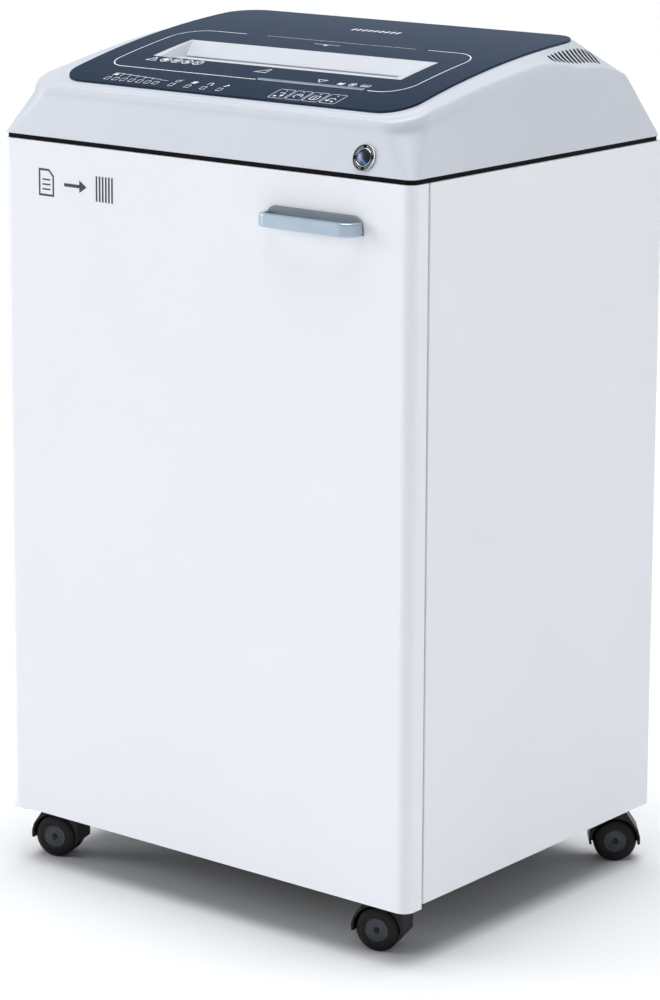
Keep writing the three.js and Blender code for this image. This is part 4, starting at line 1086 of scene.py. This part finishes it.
# ---------------------------------------------------------------- casters
def caster(corner):
    hood = link(merged_copy(f"caster_{corner}_hood"))
    rounded(hood, 0.9, 3, 35)
    finish(hood, abs_black, f"swivel_{corner}", (f"caster_{corner}_hood",), 34.0)
    stem = link(merged_copy(f"caster_{corner}_stem"))
    rounded(stem, 0.4, 2, 35)
    finish(stem, zinc, "cabinet", (f"caster_{corner}_stem",), 32.0)
    lows = {k: corners_mm(f"caster_{corner}_wheel_{k}") for k in "ab"}
    middle = {k: (lows[k][0] + lows[k][1]) / 2 for k in "ab"}
    for k, other in (("a", "b"), ("b", "a")):
        axis = (middle[k] - middle[other]).normalized()
        wheel_profile = [(-6.7, 3.4), (-6.7, 20), (-6.2, 21.4), (-4.6, 22.9), (-4, 23), (2.6, 23),
                         (3.2, 22.9), (4.6, 21.6), (5.6, 20), (6.1, 18), (6.3, 15.6),
                         (6.0, 14.6), (6.0, 13.2), (6.0, 3.4), (-6.7, 3.4)]
        mesh = turned(f"wheel_{corner}_{k}", wheel_profile, middle[k], axis, 72)
        piece(f"wheel_{corner}_{k}", mesh, tyre, f"wheel_{corner}_{k}",
              (f"caster_{corner}_wheel_{k}",), 40.0)
        cap_profile = [(5.9, 3.3), (5.9, 12.2), (6.4, 12.0), (6.55, 11.4), (6.3, 10.8),
                       (6.1, 10.2), (6.3, 9.4), (6.6, 6), (6.65, 3.3), (5.9, 3.3)]
        mesh = turned(f"wheel_cap_{corner}_{k}", cap_profile, middle[k], axis, 48)
        piece(f"wheel_cap_{corner}_{k}", mesh, hub_plastic, f"wheel_{corner}_{k}",
              (), 40.0)


for corner in ("front_left", "front_right", "rear_left", "rear_right"):
    caster(corner)


# ---------------------------------------------------------------- door sign
def on_door(x, z):
    return (x, cover_low.y - 0.06, z)


def door_sign():
    """A plain sign: a sheet, an arrow and the same sheet in strips."""
    sign = Print(on_door)
    low, high = corners_mm("door")
    middle = high.z - 41.5
    left, right = -213.0, -113.0
    sheet = [(left, middle - 13), (left + 19, middle - 13), (left + 19, middle + 7),
             (left + 13, middle + 13), (left, middle + 13)]
    sign.line(sheet, 2.2, closed=True, step=50)
    for k in range(3):
        sign.patch(left + 9.5, middle + 3 - 5 * k, 5.6, 0.8)
    mid_x = (left + right) / 2
    sign.patch(mid_x - 5, middle, 11, 1.7)
    sign.area([(mid_x + 5, middle - 6.5), (mid_x + 15, middle), (mid_x + 5, middle + 6.5)])
    for k in range(6):
        sign.patch(right - 21.4 + 4.2 * k, middle, 1.15, 13)
    sign.made("door_sign", ink_grey, "door_leaf")


door_sign()


# ---------------------------------------------------------------- screws
def screws(name, places, axis, radius, material, body, slot):
    """Pan-head cross-recess screws instanced on points."""
    tree, entry, (head, turn) = maker(name, ("Head radius", "Float"), ("Turn", "Rotation"))
    whole = entry.outputs["Head radius"]
    deep, narrow, long_side, slim = (
        reckon(tree, "MULTIPLY", whole, share) for share in (0.9, 0.68, 1.1, 0.24))
    top = add_node(tree, "GeometryNodeMeshCone", {
        "Vertices": 20, "Radius Top": narrow, "Radius Bottom": whole, "Depth": deep})
    lower = add_node(tree, "ShaderNodeCombineXYZ", {"Z": -0.0006})
    seated = add_node(tree, "GeometryNodeTransform", {
        "Geometry": top.outputs["Mesh"], "Translation": lower.outputs["Vector"]})
    height = reckon(tree, "MULTIPLY", deep, 0.9)
    raised = add_node(tree, "ShaderNodeCombineXYZ", {"Z": height})
    recess = add_node(tree, "GeometryNodeMeshBoolean", {"Mesh 1": seated.outputs["Geometry"]},
                      operation="DIFFERENCE", solver="EXACT")
    for wide, tall in ((long_side, slim), (slim, long_side)):
        size = add_node(tree, "ShaderNodeCombineXYZ", {"X": wide, "Y": tall, "Z": 0.0012})
        cube = add_node(tree, "GeometryNodeMeshCube", {"Size": size.outputs["Vector"]})
        blade = add_node(tree, "GeometryNodeTransform", {
            "Geometry": cube.outputs["Mesh"], "Translation": raised.outputs["Vector"]})
        tree.links.new(blade.outputs["Geometry"], recess.inputs["Mesh 2"])
    facing = Vector((0, 0, 1)).rotation_difference(Vector(axis)).to_euler()
    instanced(name, tree, entry, recess.outputs["Mesh"], material, places,
              [(head, radius * MM), (turn, facing)], body, slot,
              Rotation=entry.outputs["Turn"])


back_low, back_high = corners_mm("cabinet_back")
back_places = [(x, back_high.y, z) for x in (back_low.x + 9, back_high.x - 9)
               for z in (90, 250, 410, 570, 750)]
back_places += [(x, back_high.y, z) for x in (-120, 0, 120) for z in (73, 757)]
screws("back_panel_screws", back_places, (0, 1, 0), 3.4, zinc, "cabinet", "steel")
rear_rise = 20.0
rear_y = cover_high.y - rear_rise * SHOULDER_BACK / SHOULDER_LINE[-1][1]
screws("head_cover_screws", [(x, rear_y, HEAD_BASE + rear_rise) for x in (-200, -70, 70, 200)],
       (0, 0.92, 0.39), 3.2, zinc, "cabinet", "steel")
screws("bin_switch_screws", [(233, -154, 758), (233, -140, 758)], (0, 0, 1), 1.6, zinc, "cabinet",
       "steel")


# ---------------------------------------------------------------- stage, light and camera
floor_finish, _, floor_shader, _ = base_finish("pale_studio_floor", 0.0, 1.45)
floor_shader.inputs["Base Color"].default_value = linear("#EEEFF0")
floor_shader.inputs["Roughness"].default_value = 0.6
FLOOR_REACH = 60000
sweep = [(x * FLOOR_REACH, y * FLOOR_REACH, 0) for x, y in ((-1, -1), (1, -1), (1, 1), (-1, 1))]
floor = link(mesh_of("studio_floor", sweep, [(0, 1, 2, 3)]))
floor.data.materials.append(floor_finish)

world = bpy.data.worlds.new("soft_studio")
bpy.context.scene.world = world
world.use_nodes = True
world.node_tree.nodes["Background"].inputs["Color"].default_value = linear("#F1F4FA")
world.node_tree.nodes["Background"].inputs["Strength"].default_value = 0.3
bpy.context.scene.view_settings.view_transform = "Standard"


def softbox(name, place, aim, wide, high, watts, colour="#FFFFFF"):
    data = bpy.data.lights.new(name, "AREA")
    data.shape = "RECTANGLE"
    data.size = wide
    data.size_y = high
    data.energy = watts
    data.color = linear(colour)[:3]
    lamp = bpy.data.objects.new(name, data)
    lamp.location = place
    lamp.rotation_euler = (Vector(aim) - Vector(place)).to_track_quat("-Z", "Y").to_euler()
    bpy.context.scene.collection.objects.link(lamp)


softbox("overhead_softbox", (-0.3, -0.5, 3.0), (0, 0, 0.5), 2.0, 2.0, 8)


def wide_sun(name, azimuth, elevation, spread, strength):
    """Even light over the whole floor, from a soft patch of the sky."""
    data = bpy.data.lights.new(name, "SUN")
    data.angle = math.radians(spread)
    data.energy = strength
    lamp = bpy.data.objects.new(name, data)
    a, e = math.radians(azimuth), math.radians(elevation)
    towards = Vector((math.sin(a) * math.cos(e), -math.cos(a) * math.cos(e), math.sin(e)))
    lamp.rotation_euler = (-towards).to_track_quat("-Z", "Y").to_euler()
    bpy.context.scene.collection.objects.link(lamp)


wide_sun("sky_panel", 0, 90, 56, 2.8)
wide_sun("left_light", -60, 12, 30, 1.2)
wide_sun("right_light", 140, 12, 30, 0.4)

AZIMUTH, ELEVATION, ROLL = (math.radians(a) for a in (38.7, 10.95, 0.267))
DISTANCE, SIDEWAYS, AIM_HEIGHT = 3.5606, -0.0015, 0.5756
forward = Vector((-math.sin(AZIMUTH) * math.cos(ELEVATION),
                  math.cos(AZIMUTH) * math.cos(ELEVATION), -math.sin(ELEVATION)))
level = Vector((math.cos(AZIMUTH), math.sin(AZIMUTH), 0))
upward = level.cross(forward)
right = level * math.cos(ROLL) + upward * math.sin(ROLL)
above = upward * math.cos(ROLL) - level * math.sin(ROLL)
camera_data = bpy.data.cameras.new("camera")
camera_data.lens = 123.6
camera_data.sensor_width = 36.0
camera_data.shift_y = -0.17
camera_data.clip_end = 100
camera = bpy.data.objects.new("camera", camera_data)
bpy.context.scene.collection.objects.link(camera)
turn = Matrix((right, above, -forward)).transposed().to_4x4()
spot = level * SIDEWAYS - forward * DISTANCE + Vector((0, MID_Y * MM, AIM_HEIGHT))
camera.matrix_world = Matrix.Translation(spot) @ turn
bpy.context.scene.camera = camera
